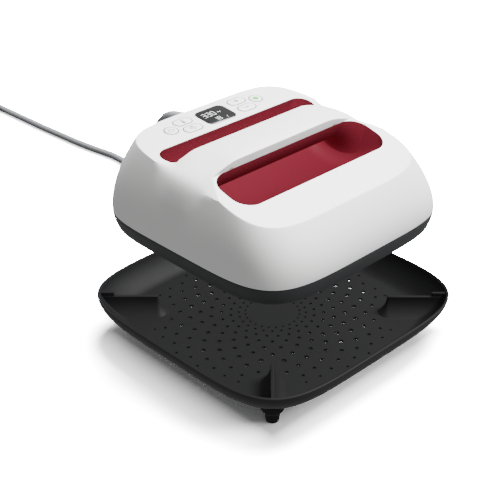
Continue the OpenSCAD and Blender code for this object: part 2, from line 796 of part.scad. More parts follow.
module standoff_spots()
  for (q = quarters) translate([q.x * standoff_x, power_mid + q.y * standoff_y]) children();
module power_board() color("#2c5f8a") translate([0, 0, power_z]) linear_extrude(board_t) difference() {
  translate([0, power_mid]) rounded(power_x, power_y, 3);
  standoff_spots() circle(d = 3.2);
}
module board_standoffs() color("#d9d9d4") standoff_spots() {
  translate([0, 0, shield_z + shield_t]) cylinder(d = standoff_d, h = board_lift);
  translate([0, 0, power_z]) cylinder(d = 3, h = board_t + 1.5);
}
module on_power(x) translate([x, power_mid, power_z + board_t]) children();
module power_relay() color("#22324a") on_power(-32) linear_extrude(15) rounded(19, 16, 1);
module transformer() color("#c9a227") on_power(4) {
  linear_extrude(17) rounded(24, 20, 2);
  translate([0, 0, 4]) linear_extrude(9) rounded(28, 15, 2);
}
module capacitors() color("#3a3a58") on_power(34)
  for (y = [-8, 8]) translate([0, y, 0]) cylinder(d = 10, h = 16);

// Mains lead

// Where the middle of the lead runs inside the strain relief, and from there to the coil
relief_route = [
  [0, relief_start, relief_z], [0, 118, relief_z], [0, 130, relief_z],
  [0, 142, 202.4], [0, 153, 200.4], [0, 162, 196]
];
lead_route = [
  [0, 172, 186.5], [1, 179, 171], [4, 185, 150], [9, 192, 127], [17, 203, 104], [28, 219, 81], [44, 243, 57],
  [66, 277, 34], [91, 317, 17], [115, 359, 7.5], [131, 396, 5], [140.5, 427, 4.75], [143, 452, 4.75],
  [141, 475, 4.75], [137, 503, 4.75], [134, 535, 4.75], [132, 570, 4.75], [130, 607, 4.75], [129, 643, 4.75],
  [128, 680, 4.75], [127, 718, 4.75], [126, 752, 5.8]
];

// A point on the smooth curve through the points p, at share t between p[i] and p[i + 1]
function along(p, i, t) =
  let (a = p[max(i - 1, 0)], b = p[i], c = p[i + 1], d = p[min(i + 2, len(p) - 1)])
  0.5 * (2 * b + (c - a) * t + (2 * a - 5 * b + 4 * c - d) * t * t + (3 * b - a - 3 * c + d) * t * t * t);
function smooth(p, n) = concat(
  [for (i = [0:len(p) - 2], k = [0:n - 1]) along(p, i, k / n)],
  [p[len(p) - 1]]
);
function unit(v) = v / norm(v);
function heading(p, i) = unit(p[min(i + 1, len(p) - 1)] - p[max(i - 1, 0)]);
// A ring of radius r round point i of the line p, square to it
function tube_ring(p, i, r, sides) =
  let (h = heading(p, i), side = unit(cross(h, abs(h.z) > 0.9 ? [1, 0, 0] : [0, 0, 1])), up = cross(side, h))
  [for (k = [0:sides - 1]) let (a = 360 * (k + 0.5) / sides) p[i] + r * (cos(a) * side - sin(a) * up)];

route_steps = 2;
lead_line = smooth(concat(relief_route, lead_route), route_steps);
relief_last = (len(relief_route) - 1) * route_steps;

module strain_relief() {
  head_l = 3;
  head_d = relief_d + 5;
  tip_d = cord_d + 1.6;
  color("#b9babc") {
    loft([for (i = [0:relief_last]) tube_ring(lead_line, i, lerp(relief_d, tip_d, i / relief_last) / 2, 16)]);
    translate([0, relief_start - head_l, relief_z]) rotate([-90, 0, 0]) cylinder(d = head_d, h = head_l);
  }
}

module cord_free() color("#c4c5c6")
  loft([for (i = [relief_last:len(lead_line) - 1]) tube_ring(lead_line, i, cord_d / 2, 10)]);

// The coil: in along the table, up a layer in the half turn where it turns back, and out again

coil_step = cord_d + turn_gap;
coil_turns = 2 * layer_turns + 0.5;
coil_out_r = coil_d / 2 + coil_step * (layer_turns + 0.25) / 2;
coil_low_z = cord_d / 2 + tie_t + 0.05;
coil_start = lead_route[len(lead_route) - 1];
coil_mid = coil_start + [-coil_out_r, cord_d, 0];
rings_a_turn = 24;

function coil_r(t) = coil_out_r - coil_step * min(t, coil_turns - t);
function coil_rise(t) = coil_step * max(0, min(1, (t - layer_turns) / 0.5));
function coil_point(t) =
  [coil_mid.x + coil_r(t) * cos(360 * t), coil_mid.y + coil_r(t) * sin(360 * t), coil_low_z + coil_rise(t)];
coil_turned = [for (i = [0:rings_a_turn * coil_turns]) coil_point(i / rings_a_turn)];
coil_end_way = [-sin(360 * coil_turns), cos(360 * coil_turns), 0];
tail_l = 45;
coil_end = coil_turned[len(coil_turned) - 1] + tail_l * coil_end_way;
coil_line = concat([coil_start], coil_turned, [coil_end]);

function least_gap(p, apart) =
  min([for (i = [0:len(p) - 1 - apart], j = [i + apart:len(p) - 1]) norm(p[i] - p[j])]) - cord_d;
echo(least_gap_in_coil = least_gap(coil_line, rings_a_turn / 2));
function line_length(p) = [for (i = [1:len(p) - 1]) norm(p[i] - p[i - 1])] * [for (i = [1:len(p) - 1]) 1];
free_line = [for (i = [relief_last:len(lead_line) - 1]) lead_line[i]];
echo(lead_length = line_length(free_line) + line_length(coil_line));

module cord_coil() color("#c4c5c6")
  loft([for (i = [0:len(coil_line) - 1]) tube_ring(coil_line, i, cord_d / 2, 6)]);

module cord_tie() {
  reach_out = coil_out_r + cord_d / 2 + clear;
  reach_in = coil_out_r - coil_step * (layer_turns + 0.25) - cord_d / 2 - clear;
  top = coil_low_z + coil_step + cord_d / 2 + clear;
  color("#3a3b3d") translate([coil_mid.x, coil_mid.y, 0]) rotate(200)
    translate([(reach_out + reach_in) / 2, 0, top / 2 + tie_t / 2]) rotate([90, 0, 0])
    linear_extrude(tie_w, center = true) difference() {
      rounded(reach_out - reach_in + 2 * tie_t, top + tie_t, 3);
      rounded(reach_out - reach_in, top - tie_t, 2);
    }
}

// The plug lies beside the coil, in line with the lead's end
plug_z = coil_end.z;
module at_plug()
  translate(coil_end) rotate([0, 90, atan2(coil_end_way.y, coil_end_way.x)]) children();
module plug_body() color("#b9babc") at_plug() {
  neck_l = 22;
  cylinder(d1 = cord_d + 1.6, d2 = 15, h = neck_l);
  translate([0, 0, neck_l]) linear_extrude(plug_l - neck_l) rounded(2 * plug_z - 0.1, plug_w, 7);
}
module plug_pins() color("#d8c98a") at_plug() translate([0, 0, plug_l]) {
  // two flat pins and a round earth pin
  apart = 12.7;
  pin = [6.3, 1.5, 16];
  for (y = [-apart / 2, apart / 2]) translate([-4.2, y - pin.y / 2, 0]) cube(pin);
  translate([7, 0, 0]) cylinder(d = 4.8, h = 18);
}

base_tray();
vent_panel();
foot_front_left();
foot_front_right();
foot_back_left();
foot_back_right();
heat_plate();
heating_element();
thermistor();
thermal_fuse();
insulation_blanket();
plate_spacers();
heat_shield();
plate_screws();
shield_screws();
skirt();
upper_shell();
shell_screws();
recess_scoop();
handle_liner();
display_window();
display_module();
control_board();
key_switches();
board_screws();
power_board();
board_standoffs();
power_relay();
transformer();
capacitors();
key_temperature();
key_timer();
key_plus();
key_minus();
key_power();
key_start();
strain_relief();
cord_free();
cord_coil();
cord_tie();
plug_body();
plug_pins();
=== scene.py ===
import json
import math

import bpy
from mathutils import Matrix, Vector

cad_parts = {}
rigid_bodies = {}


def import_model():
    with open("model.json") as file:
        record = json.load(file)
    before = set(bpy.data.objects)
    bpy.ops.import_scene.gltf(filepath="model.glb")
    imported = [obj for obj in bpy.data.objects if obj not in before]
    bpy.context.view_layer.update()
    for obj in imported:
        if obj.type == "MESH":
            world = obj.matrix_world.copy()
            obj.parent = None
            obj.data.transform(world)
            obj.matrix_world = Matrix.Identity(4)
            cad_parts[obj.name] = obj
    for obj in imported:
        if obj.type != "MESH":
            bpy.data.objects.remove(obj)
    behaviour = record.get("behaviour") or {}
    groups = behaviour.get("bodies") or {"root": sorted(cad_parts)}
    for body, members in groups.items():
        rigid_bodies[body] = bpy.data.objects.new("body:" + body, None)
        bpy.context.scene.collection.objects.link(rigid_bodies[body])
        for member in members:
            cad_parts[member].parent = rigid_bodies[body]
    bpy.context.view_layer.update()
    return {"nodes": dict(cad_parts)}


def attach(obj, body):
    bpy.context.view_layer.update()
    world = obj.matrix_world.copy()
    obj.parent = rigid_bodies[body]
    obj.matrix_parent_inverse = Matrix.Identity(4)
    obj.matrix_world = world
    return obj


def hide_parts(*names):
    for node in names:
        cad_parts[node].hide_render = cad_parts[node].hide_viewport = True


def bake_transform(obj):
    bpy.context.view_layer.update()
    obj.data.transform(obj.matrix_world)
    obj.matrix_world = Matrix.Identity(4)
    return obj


mm = 0.001

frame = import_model()
nodes = frame["nodes"]
print("frame loaded:", len(nodes), "nodes")


# small helpers

def lerp(a, b, t):
    return a + (b - a) * t


def clamp(value, low=0.0, high=1.0):
    return max(low, min(high, value))


def easeIn(t):
    t = clamp(t)
    return t * t * (3 - 2 * t)


def crossing(f, low, high):
    # the place between low and high where f changes sign
    rising = f(low) < 0
    for step in range(48):
        middle = (low + high) / 2
        if (f(middle) < 0) == rising:
            low = middle
        else:
            high = middle
    return (low + high) / 2


def deselect():
    if bpy.context.object and bpy.context.object.mode != "OBJECT":
        bpy.ops.object.mode_set(mode="OBJECT")
    bpy.ops.object.select_all(action="DESELECT")


def only(obj):
    deselect()
    obj.select_set(True)
    bpy.context.view_layer.objects.active = obj


def gridOn(name, across, up, place):
    # a flat grid laid onto a surface, where place(i, j) gives each point in millimetres
    deselect()
    bpy.ops.mesh.primitive_grid_add(x_subdivisions=across, y_subdivisions=up, size=1)
    obj = bpy.context.object
    obj.name = name
    for vert in obj.data.vertices:
        i = round((vert.co.x + 0.5) * across)
        j = round((vert.co.y + 0.5) * up)
        vert.co = Vector(place(i, j)) * mm
    return obj


def joined(name, pieces):
    deselect()
    for piece in pieces:
        piece.select_set(True)
    bpy.context.view_layer.objects.active = pieces[0]
    if len(pieces) > 1:
        bpy.ops.object.join()
    bpy.context.object.name = name
    return bpy.context.object


def weld(obj, gap=0.01):
    # merges points that lie on each other
    only(obj)
    bpy.ops.object.mode_set(mode="EDIT")
    bpy.ops.mesh.select_all(action="SELECT")
    bpy.ops.mesh.remove_doubles(threshold=gap * mm)
    bpy.ops.mesh.dissolve_degenerate(threshold=0.002 * mm)
    bpy.ops.object.mode_set(mode="OBJECT")


def closed(obj, gap):
    # joins the seams of a grid that closes on itself, with its faces outwards
    weld(obj, gap)
    bpy.ops.object.mode_set(mode="EDIT")
    bpy.ops.mesh.select_all(action="SELECT")
    bpy.ops.mesh.normals_make_consistent(inside=False)
    bpy.ops.object.mode_set(mode="OBJECT")
    return obj


def pick(obj, kind, test):
    # goes into edit mode with what passes the test selected; points are in millimetres
    only(obj)
    bpy.ops.object.mode_set(mode="EDIT")
    bpy.ops.mesh.select_mode(type=kind)
    bpy.ops.mesh.select_all(action="DESELECT")
    bpy.ops.object.mode_set(mode="OBJECT")
    mesh = obj.data
    if kind == "VERT":
        for vert in mesh.vertices:
            vert.select = test(vert.co / mm)
    elif kind == "EDGE":
        for edge in mesh.edges:
            edge.select = test(*(mesh.vertices[k].co / mm for k in edge.vertices))
    else:
        for face in mesh.polygons:
            face.select = test(face.center / mm, face.normal)
    bpy.ops.object.mode_set(mode="EDIT")


def finishWith(obj, kind, **settings):
    only(obj)
    modifier = obj.modifiers.new(kind.lower(), kind)
    for key, value in settings.items():
        setattr(modifier, key, value)
    bpy.ops.object.modifier_apply(modifier=modifier.name)


def smooth(obj, angle):
    only(obj)
    bpy.ops.object.shade_smooth_by_angle(angle=math.radians(angle))


def dress(obj, material, body=None, replaces=()):
    obj.data.materials.clear()
    obj.data.materials.append(material)
    if body:
        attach(obj, body)
    if replaces:
        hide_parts(*replaces)
    return obj


# materials

def hexColour(code):
    # sRGB hex to linear
    parts = [int(code[k:k + 2], 16) / 255 for k in (1, 3, 5)]
    return [c / 12.92 if c <= 0.04045 else ((c + 0.055) / 1.055) ** 2.4 for c in parts] + [1]


def addNode(tree, kind, inputs=None, **settings):
    made = tree.nodes.new("ShaderNode" + kind)
    for key, value in settings.items():
        setattr(made, key, value)
    for key, value in (inputs or {}).items():
        if isinstance(value, bpy.types.NodeSocket):
            tree.links.new(value, made.inputs[key])
        else:
            made.inputs[key].default_value = value
    return made


def surface(name, colour, other, rough, roughOther, grain, depth, spread=40, ior=1.54, **sockets):
    # grain is the width of the surface's grain in mm, drawn coarser than it is so that it can show,
    # depth its height, and spread the width of the patches over which colour and gloss waver
    material = bpy.data.materials.new(name)
    material.use_nodes = True
    tree = material.node_tree
    shader = tree.nodes["Principled BSDF"]
    where = addNode(tree, "TexCoord").outputs["Object"]
    patches = addNode(tree, "TexNoise", {"Vector": where, "Scale": 1000 / spread, "Detail": 3.0})
    tint = addNode(tree, "Mix", {0: patches.outputs["Fac"], 6: hexColour(colour), 7: hexColour(other)},
                   data_type="RGBA")
    gloss = addNode(tree, "MapRange", {"Value": patches.outputs["Fac"], "From Min": 0.3, "From Max": 0.7,
                                       "To Min": rough, "To Max": roughOther})
    fine = addNode(tree, "TexNoise", {"Vector": where, "Scale": 1000 / grain, "Detail": 2.0})
    bump = addNode(tree, "Bump", {"Height": fine.outputs["Fac"], "Distance": depth * mm, "Strength": 1.0})
    tree.links.new(tint.outputs[2], shader.inputs["Base Color"])
    tree.links.new(gloss.outputs["Result"], shader.inputs["Roughness"])
    tree.links.new(bump.outputs["Normal"], shader.inputs["Normal"])
    if ior:
        shader.inputs["IOR"].default_value = ior
    for key, value in sockets.items():
        shader.inputs[key.replace("_", " ")].default_value = value
    return material


# ABS, moulded with a satin face: soft broad highlights and a fine grain
whiteAbs = surface("white_abs_satin", "#f1f1f0", "#ececeb", 0.42, 0.47, 0.9, 0.012)
# the same plastic dyed through, in the recess
redAbs = surface("red_abs_satin", "#8c2a3b", "#862637", 0.60, 0.66, 0.9, 0.015, Specular_IOR_Level=0.25)
# glass-filled nylon round the hot plate: dark and a little dull
darkNylon = surface("dark_nylon_satin", "#252628", "#2a2b2d", 0.46, 0.54, 1.1, 0.02)
# black polypropylene of the stand, spark-grained
blackPp = surface("black_pp_grained", "#252526", "#29292a", 0.56, 0.64, 1.2, 0.03, Specular_IOR_Level=0.3)
# the same plastic, polished a little less on the wide floor, and painted a little lighter there, painted
# light that lifts the floor under the press
floorPpPaintedLighter = surface("black_pp_floor_painted_lighter", "#2a2a2b", "#2d2d2e", 0.66, 0.72, 1.2, 0.03, Specular_IOR_Level=0.2)
# thermoplastic rubber: dull, with a dusty bloom
footRubber = surface("foot_rubber", "#161617", "#1a1a1b", 0.72, 0.85, 0.8, 0.03, spread=12, ior=1.52,
                     Specular_IOR_Level=0.25)
# aluminium under a baked non-stick coat: dark, speckled, half glossy
coatedPlate = surface("coated_aluminium", "#2a2b2d", "#343537", 0.30, 0.40, 1.4, 0.02, spread=6)
# plated metals, with the shader's own IOR: cool and bright, then warm and bright
steelBright = surface("zinc_plated_steel", "#b9bcc0", "#a9acb1", 0.28, 0.40, 0.7, 0.005, spread=8,
                      ior=None, Metallic=1.0)
brassPin = surface("nickel_plated_brass", "#cfc6a6", "#c4ba96", 0.24, 0.34, 0.7, 0.004, spread=8,
                   ior=None, Metallic=1.0)
# fired steatite: off-white and nearly matt
ceramicWhite = surface("steatite_ceramic", "#ece6db", "#e2dccf", 0.45, 0.6, 0.6, 0.02)
# needled glass wool: cream, soft and rough all over
woolFelt = surface("needled_glass_wool", "#e6dfca", "#d3cbb2", 0.9, 1.0, 1.5, 0.4, spread=5)
# solder resist on glass laminate: a thin film with a low gloss
boardGreen = surface("solder_resist_green", "#2f6b46", "#28603e", 0.35, 0.45, 1.0, 0.01, spread=10)
boardBlue = surface("solder_resist_blue", "#2c5f8a", "#27557d", 0.35, 0.45, 1.0, 0.01, spread=10)
# pressed phenolic: black, slightly dusty
switchBlack = surface("phenolic_black", "#1d1e20", "#242527", 0.5, 0.6, 0.8, 0.02)
# moulded PBT: dark blue with a dull sheen
relayBlue = surface("relay_case_pbt", "#22324a", "#1f2d43", 0.4, 0.5, 0.8, 0.01)
# polyester tape wound tight: yellow and slippery
windingTape = surface("polyester_winding_tape", "#c9a227", "#bd9722", 0.3, 0.4, 2.0, 0.02, spread=6)
# PVC sleeve shrunk on a can: dark violet, half glossy
sleeveViolet = surface("shrunk_pvc_sleeve", "#3a3a58", "#34344f", 0.35, 0.45, 1.0, 0.01)
# soft PVC jacket: pale grey, faintly mottled
cordPvc = surface("cord_pvc_grey", "#7f8082", "#78797b", 0.45, 0.55, 0.9, 0.02, spread=25, ior=1.53)
# woven nylon: dark, dull and ribbed
tieNylon = surface("tie_webbing_nylon", "#333436", "#3d3e41", 0.75, 0.9, 0.7, 0.12, spread=3)
# smoked acrylic over the liquid crystal: smooth and glossy
smokedAcrylic = surface("smoked_acrylic", "#1e1e1e", "#1c1c1c", 0.10, 0.14, 3.0, 0.001, ior=1.49)
# figures lit from behind: pale, with a faint glow
litSegment = surface("lit_segment", "#e9ecec", "#dfe3e3", 0.4, 0.5, 1.0, 0.001,
                     Emission_Color=hexColour("#dfe6e6"), Emission_Strength=0.25)
# pad-printed ink: flat, in dark grey and in green
keyPrint = surface("pad_print_grey", "#2a2c2e", "#26282a", 0.5, 0.6, 1.0, 0.004)
keyPrintGreen = surface("pad_print_green", "#25a80f", "#21a00c", 0.5, 0.6, 1.0, 0.004)
# a dark strip sunk in the gap round each key, painted shade that darkens the gap: a dull dark line
keyGapShade = surface("key_seal_silicone", "#2e3033", "#2a2c2e", 0.6, 0.7, 0.8, 0.01)

slotMaterials = {
    "base": blackPp, "vent": floorPpPaintedLighter, "foot": footRubber, "plate": coatedPlate, "steel": steelBright,
    "ceramic": ceramicWhite, "wool": woolFelt, "skirt": darkNylon, "shell": whiteAbs, "liner": redAbs,
    "window": smokedAcrylic, "lcd": switchBlack, "board": boardGreen, "power": boardBlue,
    "switch": switchBlack, "relay": relayBlue, "winding": windingTape, "can": sleeveViolet,
    "key": whiteAbs, "boot": cordPvc, "cord": cordPvc, "tie": tieNylon, "pin": brassPin,
}
for node in nodes.values():
    for held in node.material_slots:
        held.material = slotMaterials[held.name.split(".")[0]]
print("materials made:", len(bpy.data.materials))


# camera, floor and light

view = {"at": (-693.9, -693.2, 670.7), "azimuth": 226.896, "elevation": 29.684, "roll": -0.928,
        "lens": 83.1, "sensor": 36, "farthest": 50}
turn, lift, roll = (math.radians(view[key]) for key in ("azimuth", "elevation", "roll"))
back = Vector((math.cos(lift) * math.cos(turn), math.cos(lift) * math.sin(turn), math.sin(lift)))
level = Vector((-math.sin(turn), math.cos(turn), 0))
upright = back.cross(level)
right = math.cos(roll) * level + math.sin(roll) * upright
upright = math.cos(roll) * upright - math.sin(roll) * level
deselect()
bpy.ops.object.camera_add()
camera = bpy.context.object
camera.data.lens = view["lens"]
camera.data.sensor_width = view["sensor"]
camera.data.clip_end = view["farthest"]
facing = Matrix((right, upright, back)).transposed().to_4x4()
facing.translation = Vector(view["at"]) * mm
camera.matrix_world = facing
bpy.context.scene.camera = camera

# paper whose colour is scaled far above white, painted light that makes it brighter than the press, and
# scaled less close to the stand, a painted shadow round the stand
# its sizes are in metres
sheet = {"size": 24, "below": 0.0004, "half": 0.12, "run": 0.06, "paintedShadowGain": 1.2, "paintedLightGain": 16}
bpy.ops.mesh.primitive_plane_add(size=sheet["size"])
floor = bpy.context.object
floor.name = "floor"
floor.location.z = -sheet["below"]
paper = surface("studio_paper_painted_light_and_shadow", "#fbfbfb", "#fafafa", 0.8, 0.85, 3.0, 0.002, spread=400,
                Specular_IOR_Level=0.0)
tree = paper.node_tree
tone = tree.nodes["Principled BSDF"].inputs["Base Color"]
away = addNode(tree, "TexCoord").outputs["Object"]
none, edges = (0, 0, 0), (sheet["half"], sheet["half"], 0)
for step, other in (("ABSOLUTE", none), ("SUBTRACT", edges), ("MAXIMUM", none)):
    away = addNode(tree, "VectorMath", {0: away, 1: other}, operation=step).outputs[0]
away = addNode(tree, "VectorMath", {0: away}, operation="LENGTH").outputs["Value"]
# the colour's scale: low beside the stand for the painted shadow, far above white further out for the painted
# light
gain = addNode(tree, "MapRange", {"Value": away, "From Min": 0, "From Max": sheet["run"],
                                  "To Min": sheet["paintedShadowGain"], "To Max": sheet["paintedLightGain"]})
paintedLight = addNode(tree, "VectorMath", {0: tone.links[0].from_socket, "Scale": gain.outputs["Result"]},
                 operation="SCALE")
tree.links.new(paintedLight.outputs[0], tone)
dress(floor, paper)
floor.visible_diffuse = False  # the floor takes shadows and throws no light back up
floor.visible_glossy = False

lamps = {
    "key": {"at": (1.5, -2.4, 2.2), "size": 1.5, "power": 110, "to": (0, 0, 0.1)},
    "top": {"at": (1.4, 0.3, 2.7), "size": 2.0, "power": 430, "to": (0, 0, 0)},
    "front": {"at": (1.2, -1.4, 2.7), "size": 1.6, "power": 128, "to": (0, 0, 0.1)},
    "recess": {"at": (-0.9, -1.1, 2.4), "size": 1.6, "power": 98, "to": (0, 0, 0.1)},
}
skyPower = 0.35
for name, lamp in lamps.items():
    deselect()
    bpy.ops.object.light_add(type="AREA", location=lamp["at"])
    made = bpy.context.object
    made.name = name
    made.data.size = lamp["size"]
    made.data.energy = lamp["power"]
    made.rotation_euler = (Vector(lamp["to"]) - Vector(lamp["at"])).to_track_quat("-Z", "Y").to_euler()
world = bpy.context.scene.world or bpy.data.worlds.new("studio")
bpy.context.scene.world = world
world.use_nodes = True
sky = world.node_tree.nodes["Background"].inputs
sky["Color"].default_value = (1, 1, 1, 1)
sky["Strength"].default_value = skyPower
print("camera and light set")


# mains lead

lead = {
    "across": 9.5, "sides": 16, "between": 5,
    "relief": [
        (0, 106, 203.2), (0, 118, 203.2), (0, 130, 203.2), (0, 142, 202.4), (0, 153, 200.4), (0, 162, 196),
    ],
    "route": [
        (0, 172, 186.5), (1, 179, 171), (4, 185, 150), (9, 192, 127), (17, 203, 104), (28, 219, 81),
        (44, 243, 57), (66, 277, 34), (91, 317, 17), (115, 359, 7.5), (131, 396, 5), (140.5, 427, 4.75),
        (143, 452, 4.75), (141, 475, 4.75), (137, 503, 4.75), (134, 535, 4.75), (132, 570, 4.75),
        (130, 607, 4.75), (129, 643, 4.75), (128, 680, 4.75), (127, 718, 4.75), (126, 752, 5.8),
    ],
    "coilRadius": 61.725, "coilStep": 10.3, "layerTurns": 1.25, "climbTurns": 0.5, "turnPoints": 48,
    "tail": 45, "bendFrom": (0, 172, 186), "bendTo": (115, 359, 7.5),
}


def eased(points, count):
    # a smooth line through the points
    line = []
    for i in range(len(points) - 1):
        a, b = Vector(points[max(i - 1, 0)]), Vector(points[i])
        c, d = Vector(points[i + 1]), Vector(points[min(i + 2, len(points) - 1)])
        for k in range(count):
            t = k / count
            line.append(0.5 * (2 * b + (c - a) * t + (2 * a - 5 * b + 4 * c - d) * t ** 2
                               + (3 * b - a - 3 * c + d) * t ** 3))
    line.append(Vector(points[-1]))
    return line


def tubeOn(name, line, sides, radius):
    # a round tube along a line; radius(j) is its radius at point j, and its ends are closed
    ways = [(line[min(j + 1, len(line) - 1)] - line[max(j - 1, 0)]).normalized() for j in range(len(line))]
    sideways = [ways[0].cross(Vector((0, 0, 1))).normalized()]
    for j in range(1, len(line)):
        square = sideways[-1] - sideways[-1].dot(ways[j]) * ways[j]
        sideways.append(square.normalized())

    def place(i, j):
        j = j - 1
        if j < 0 or j >= len(line):
            return line[clamp(j, 0, len(line) - 1)]
        angle = 2 * math.pi * i / sides
        over = sideways[j].cross(ways[j])
        return line[j] + radius(j) * (math.cos(angle) * sideways[j] + math.sin(angle) * over)

    tube = closed(gridOn(name, sides, len(line) + 1, place), 0.003)
    smooth(tube, 40)
    return tube


# the coil winds inwards, climbs one layer and winds out again
coilTurns = 2 * lead["layerTurns"] + lead["climbTurns"]
coilStart = Vector(lead["route"][-1])
coilMiddle = coilStart + Vector((-lead["coilRadius"], lead["across"], 0))


def coilPoint(t):
    r = lead["coilRadius"] - lead["coilStep"] * min(t, coilTurns - t)
    climb = lead["coilStep"] * easeIn((t - lead["layerTurns"]) / lead["climbTurns"])
    angle = 2 * math.pi * t
    return coilMiddle + Vector((r * math.cos(angle), r * math.sin(angle), climb))


leadLine = eased(lead["relief"] + lead["route"], lead["between"])
reliefEnd = lead["between"] * (len(lead["relief"]) - 1)
coilLine = [coilPoint(k / lead["turnPoints"]) for k in range(int(lead["turnPoints"] * coilTurns) + 1)]
tailEnd = coilLine[-1] + Vector((0, lead["tail"], 0))
freeLine = leadLine[reliefEnd:] + coilLine + [lerp(coilLine[-1], tailEnd, t) for t in (0.33, 0.67, 1)]
cord = tubeOn("lead", freeLine, lead["sides"], lambda j: lead["across"] / 2)
dress(cord, cordPvc, replaces=("cord_free", "cord_coil"))
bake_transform(cord)

# strain relief: a tapered boot with ribs cut round it
boot = {"root": 21.5, "tip": 12, "rib": 0.9, "ribs": 9, "ribsFrom": 0.18, "ribsTo": 0.9,
        "between": 20, "sides": 32}
bootLine = eased(lead["relief"], boot["between"])


def bootRadius(j):
    share = j / (len(bootLine) - 1)
    along = (share - boot["ribsFrom"]) / (boot["ribsTo"] - boot["ribsFrom"])
    wave = 0.5 - 0.5 * math.cos(2 * math.pi * boot["ribs"] * along)
    groove = boot["rib"] * wave if 0 < along < 1 else 0
    return lerp(boot["root"], boot["tip"], share) / 2 - groove


relief = tubeOn("lead_boot", bootLine, boot["sides"], bootRadius)
dress(relief, cordPvc, "press", ("strain_relief",))


# housing: a thin white moulding

housing = {
    "foot": 151.2, "footWidth": 261, "footSquare": 4.9, "roofSquare": 5.6, "curl": 1.75, "wall": 3,
    "roofX": 208, "roofY": 210, "frontEdge": 46.8, "slopeTop": 70.3, "backEdge": 76.3, "panelFront": 71.23,
    "handleFront": -17, "handleBack": 31, "handleFrontUp": 78.3, "handleBackUp": 76.3, "crown": 2.7,
    "archFlat": 50, "archRun": 45, "archDrop": 10, "archCurl": 1.7, "rearCorner": 40, "rearLeaves": 86,
    "recessFront": -66, "recessHalf": 100, "recessRound": 19,
    "slotBack": 59.5, "slotHalf": 100, "slotRound": 13.4, "edge": 0.9, "cutEdge": 0.35, "slopeLead": 0.02,
}
foot, roofHalf = housing["foot"], housing["roofY"] / 2
panelRun = roofHalf - housing["slotBack"]
panelTilt = math.atan2(housing["backEdge"] - housing["panelFront"], panelRun)


def slopeZ(y):
    along = (y + roofHalf) / (roofHalf + housing["handleFront"])
    return foot + lerp(housing["frontEdge"], housing["slopeTop"], along)


def panelZ(y):
    return foot + lerp(housing["panelFront"], housing["backEdge"], (y - housing["slotBack"]) / panelRun)


def wallHalf(width, top, h):
    return (housing["footWidth"] - (housing["footWidth"] - width) * (max(0, h) / top) ** housing["curl"]) / 2


def wallPoint(degrees, h):
    c, s = math.cos(math.radians(degrees)), math.sin(math.radians(degrees))
    halfX = wallHalf(housing["roofX"], housing["handleFrontUp"], h)
    halfY = wallHalf(housing["roofY"], housing["frontEdge"] if s < 0 else housing["backEdge"], h)
    n = lerp(housing["footSquare"], housing["roofSquare"], h / housing["handleFrontUp"])
    r = ((abs(c) / halfX) ** n + (abs(s) / halfY) ** n) ** (-1 / n)
    return Vector((r * c, r * s, foot + h))


def bridgeZ(v):
    # the middle of the handle's top, at share v from its front to its back
    rise = lerp(housing["handleFrontUp"], housing["handleBackUp"], v)
    return foot + rise + 4 * housing["crown"] * v * (1 - v)


def crownAt(x, v):
    # the same at any x: it falls away towards the handle's ends
    level = bridgeZ(v)
    out = max(0, abs(x) - housing["archFlat"]) / housing["archRun"]
    fall = bridgeZ(0.5) - housing["archDrop"] * out ** housing["archCurl"]
    near = clamp(0.5 + 0.5 * (fall - level))
    return lerp(fall, level, near) - near * (1 - near)


def handleTop(x, y, v):
    top = crownAt(x, v)
    return top + easeIn(2 * v - 1) * max(0, panelZ(y) - top)


def meets(degrees, roof):
    # how high the wall stands where it meets a roof
    return crossing(lambda h: foot + h - roof(wallPoint(degrees, h)), 5, 110)


def onSlope(degrees):
    return wallPoint(degrees, meets(degrees, lambda p: slopeZ(p.y)))


def onPanelEdge(degrees):
    return wallPoint(degrees, meets(degrees, lambda p: panelZ(p.y)))


def frontMiss(degrees):
    p = onSlope(degrees)
    return crownAt(p.x, 0) - slopeZ(p.y)


frontTurn = crossing(frontMiss, -60, -5)
rearTurn = crossing(lambda a: onPanelEdge(a).y - housing["rearCorner"], 5, 60)
frontKnee, rearKnee = onSlope(frontTurn), onPanelEdge(rearTurn)
frontCount, rowCount, rearCount, wallCount, faceCount, arcCount = 54, 22, 54, 18, 3, 16
hair = 1e-6  # shares closer than this are the same

# wall columns of the right half, from the front's middle to the back's
columns = []
for k in range(frontCount + 1):
    degrees = lerp(-90, frontTurn, k / frontCount)
    columns.append((degrees, onSlope(degrees).z - foot))
rowEnds = [frontKnee]
for k in range(1, rowCount):
    v = k / rowCount
    aim = lerp(frontKnee.y, rearKnee.y, v)

    def rowTop(degrees, v=v):
        return wallPoint(degrees, meets(degrees, lambda p: handleTop(p.x, p.y, v)))

    degrees = crossing(lambda a: rowTop(a).y - aim, frontTurn - 4, rearTurn + 4)
    rowEnds.append(rowTop(degrees))
    columns.append((degrees, rowEnds[-1].z - foot))
rowEnds.append(rearKnee)
for k in range(rearCount + 1):
    degrees = lerp(rearTurn, 90, k / rearCount)
    columns.append((degrees, onPanelEdge(degrees).z - foot))
halfCount = len(columns) - 1


def wallPlace(i, j):
    left = i > halfCount
    degrees, h = columns[2 * halfCount - i if left else i]
    p = wallPoint(degrees, h * j / wallCount)
    return Vector((-p.x, p.y, p.z)) if left else p


walls = gridOn("housing_walls", 2 * halfCount, wallCount, wallPlace)

# where the handle's faces end, and the shares across its top where its edges change
frontEnd = crossing(lambda x: crownAt(x, 0) - slopeZ(housing["handleFront"]), 60, 110)


def backLine(x):
    away = max(0, abs(x) - housing["rearLeaves"]) / (rearKnee.x - housing["rearLeaves"])
    return lerp(housing["handleBack"], rearKnee.y, away ** 2)


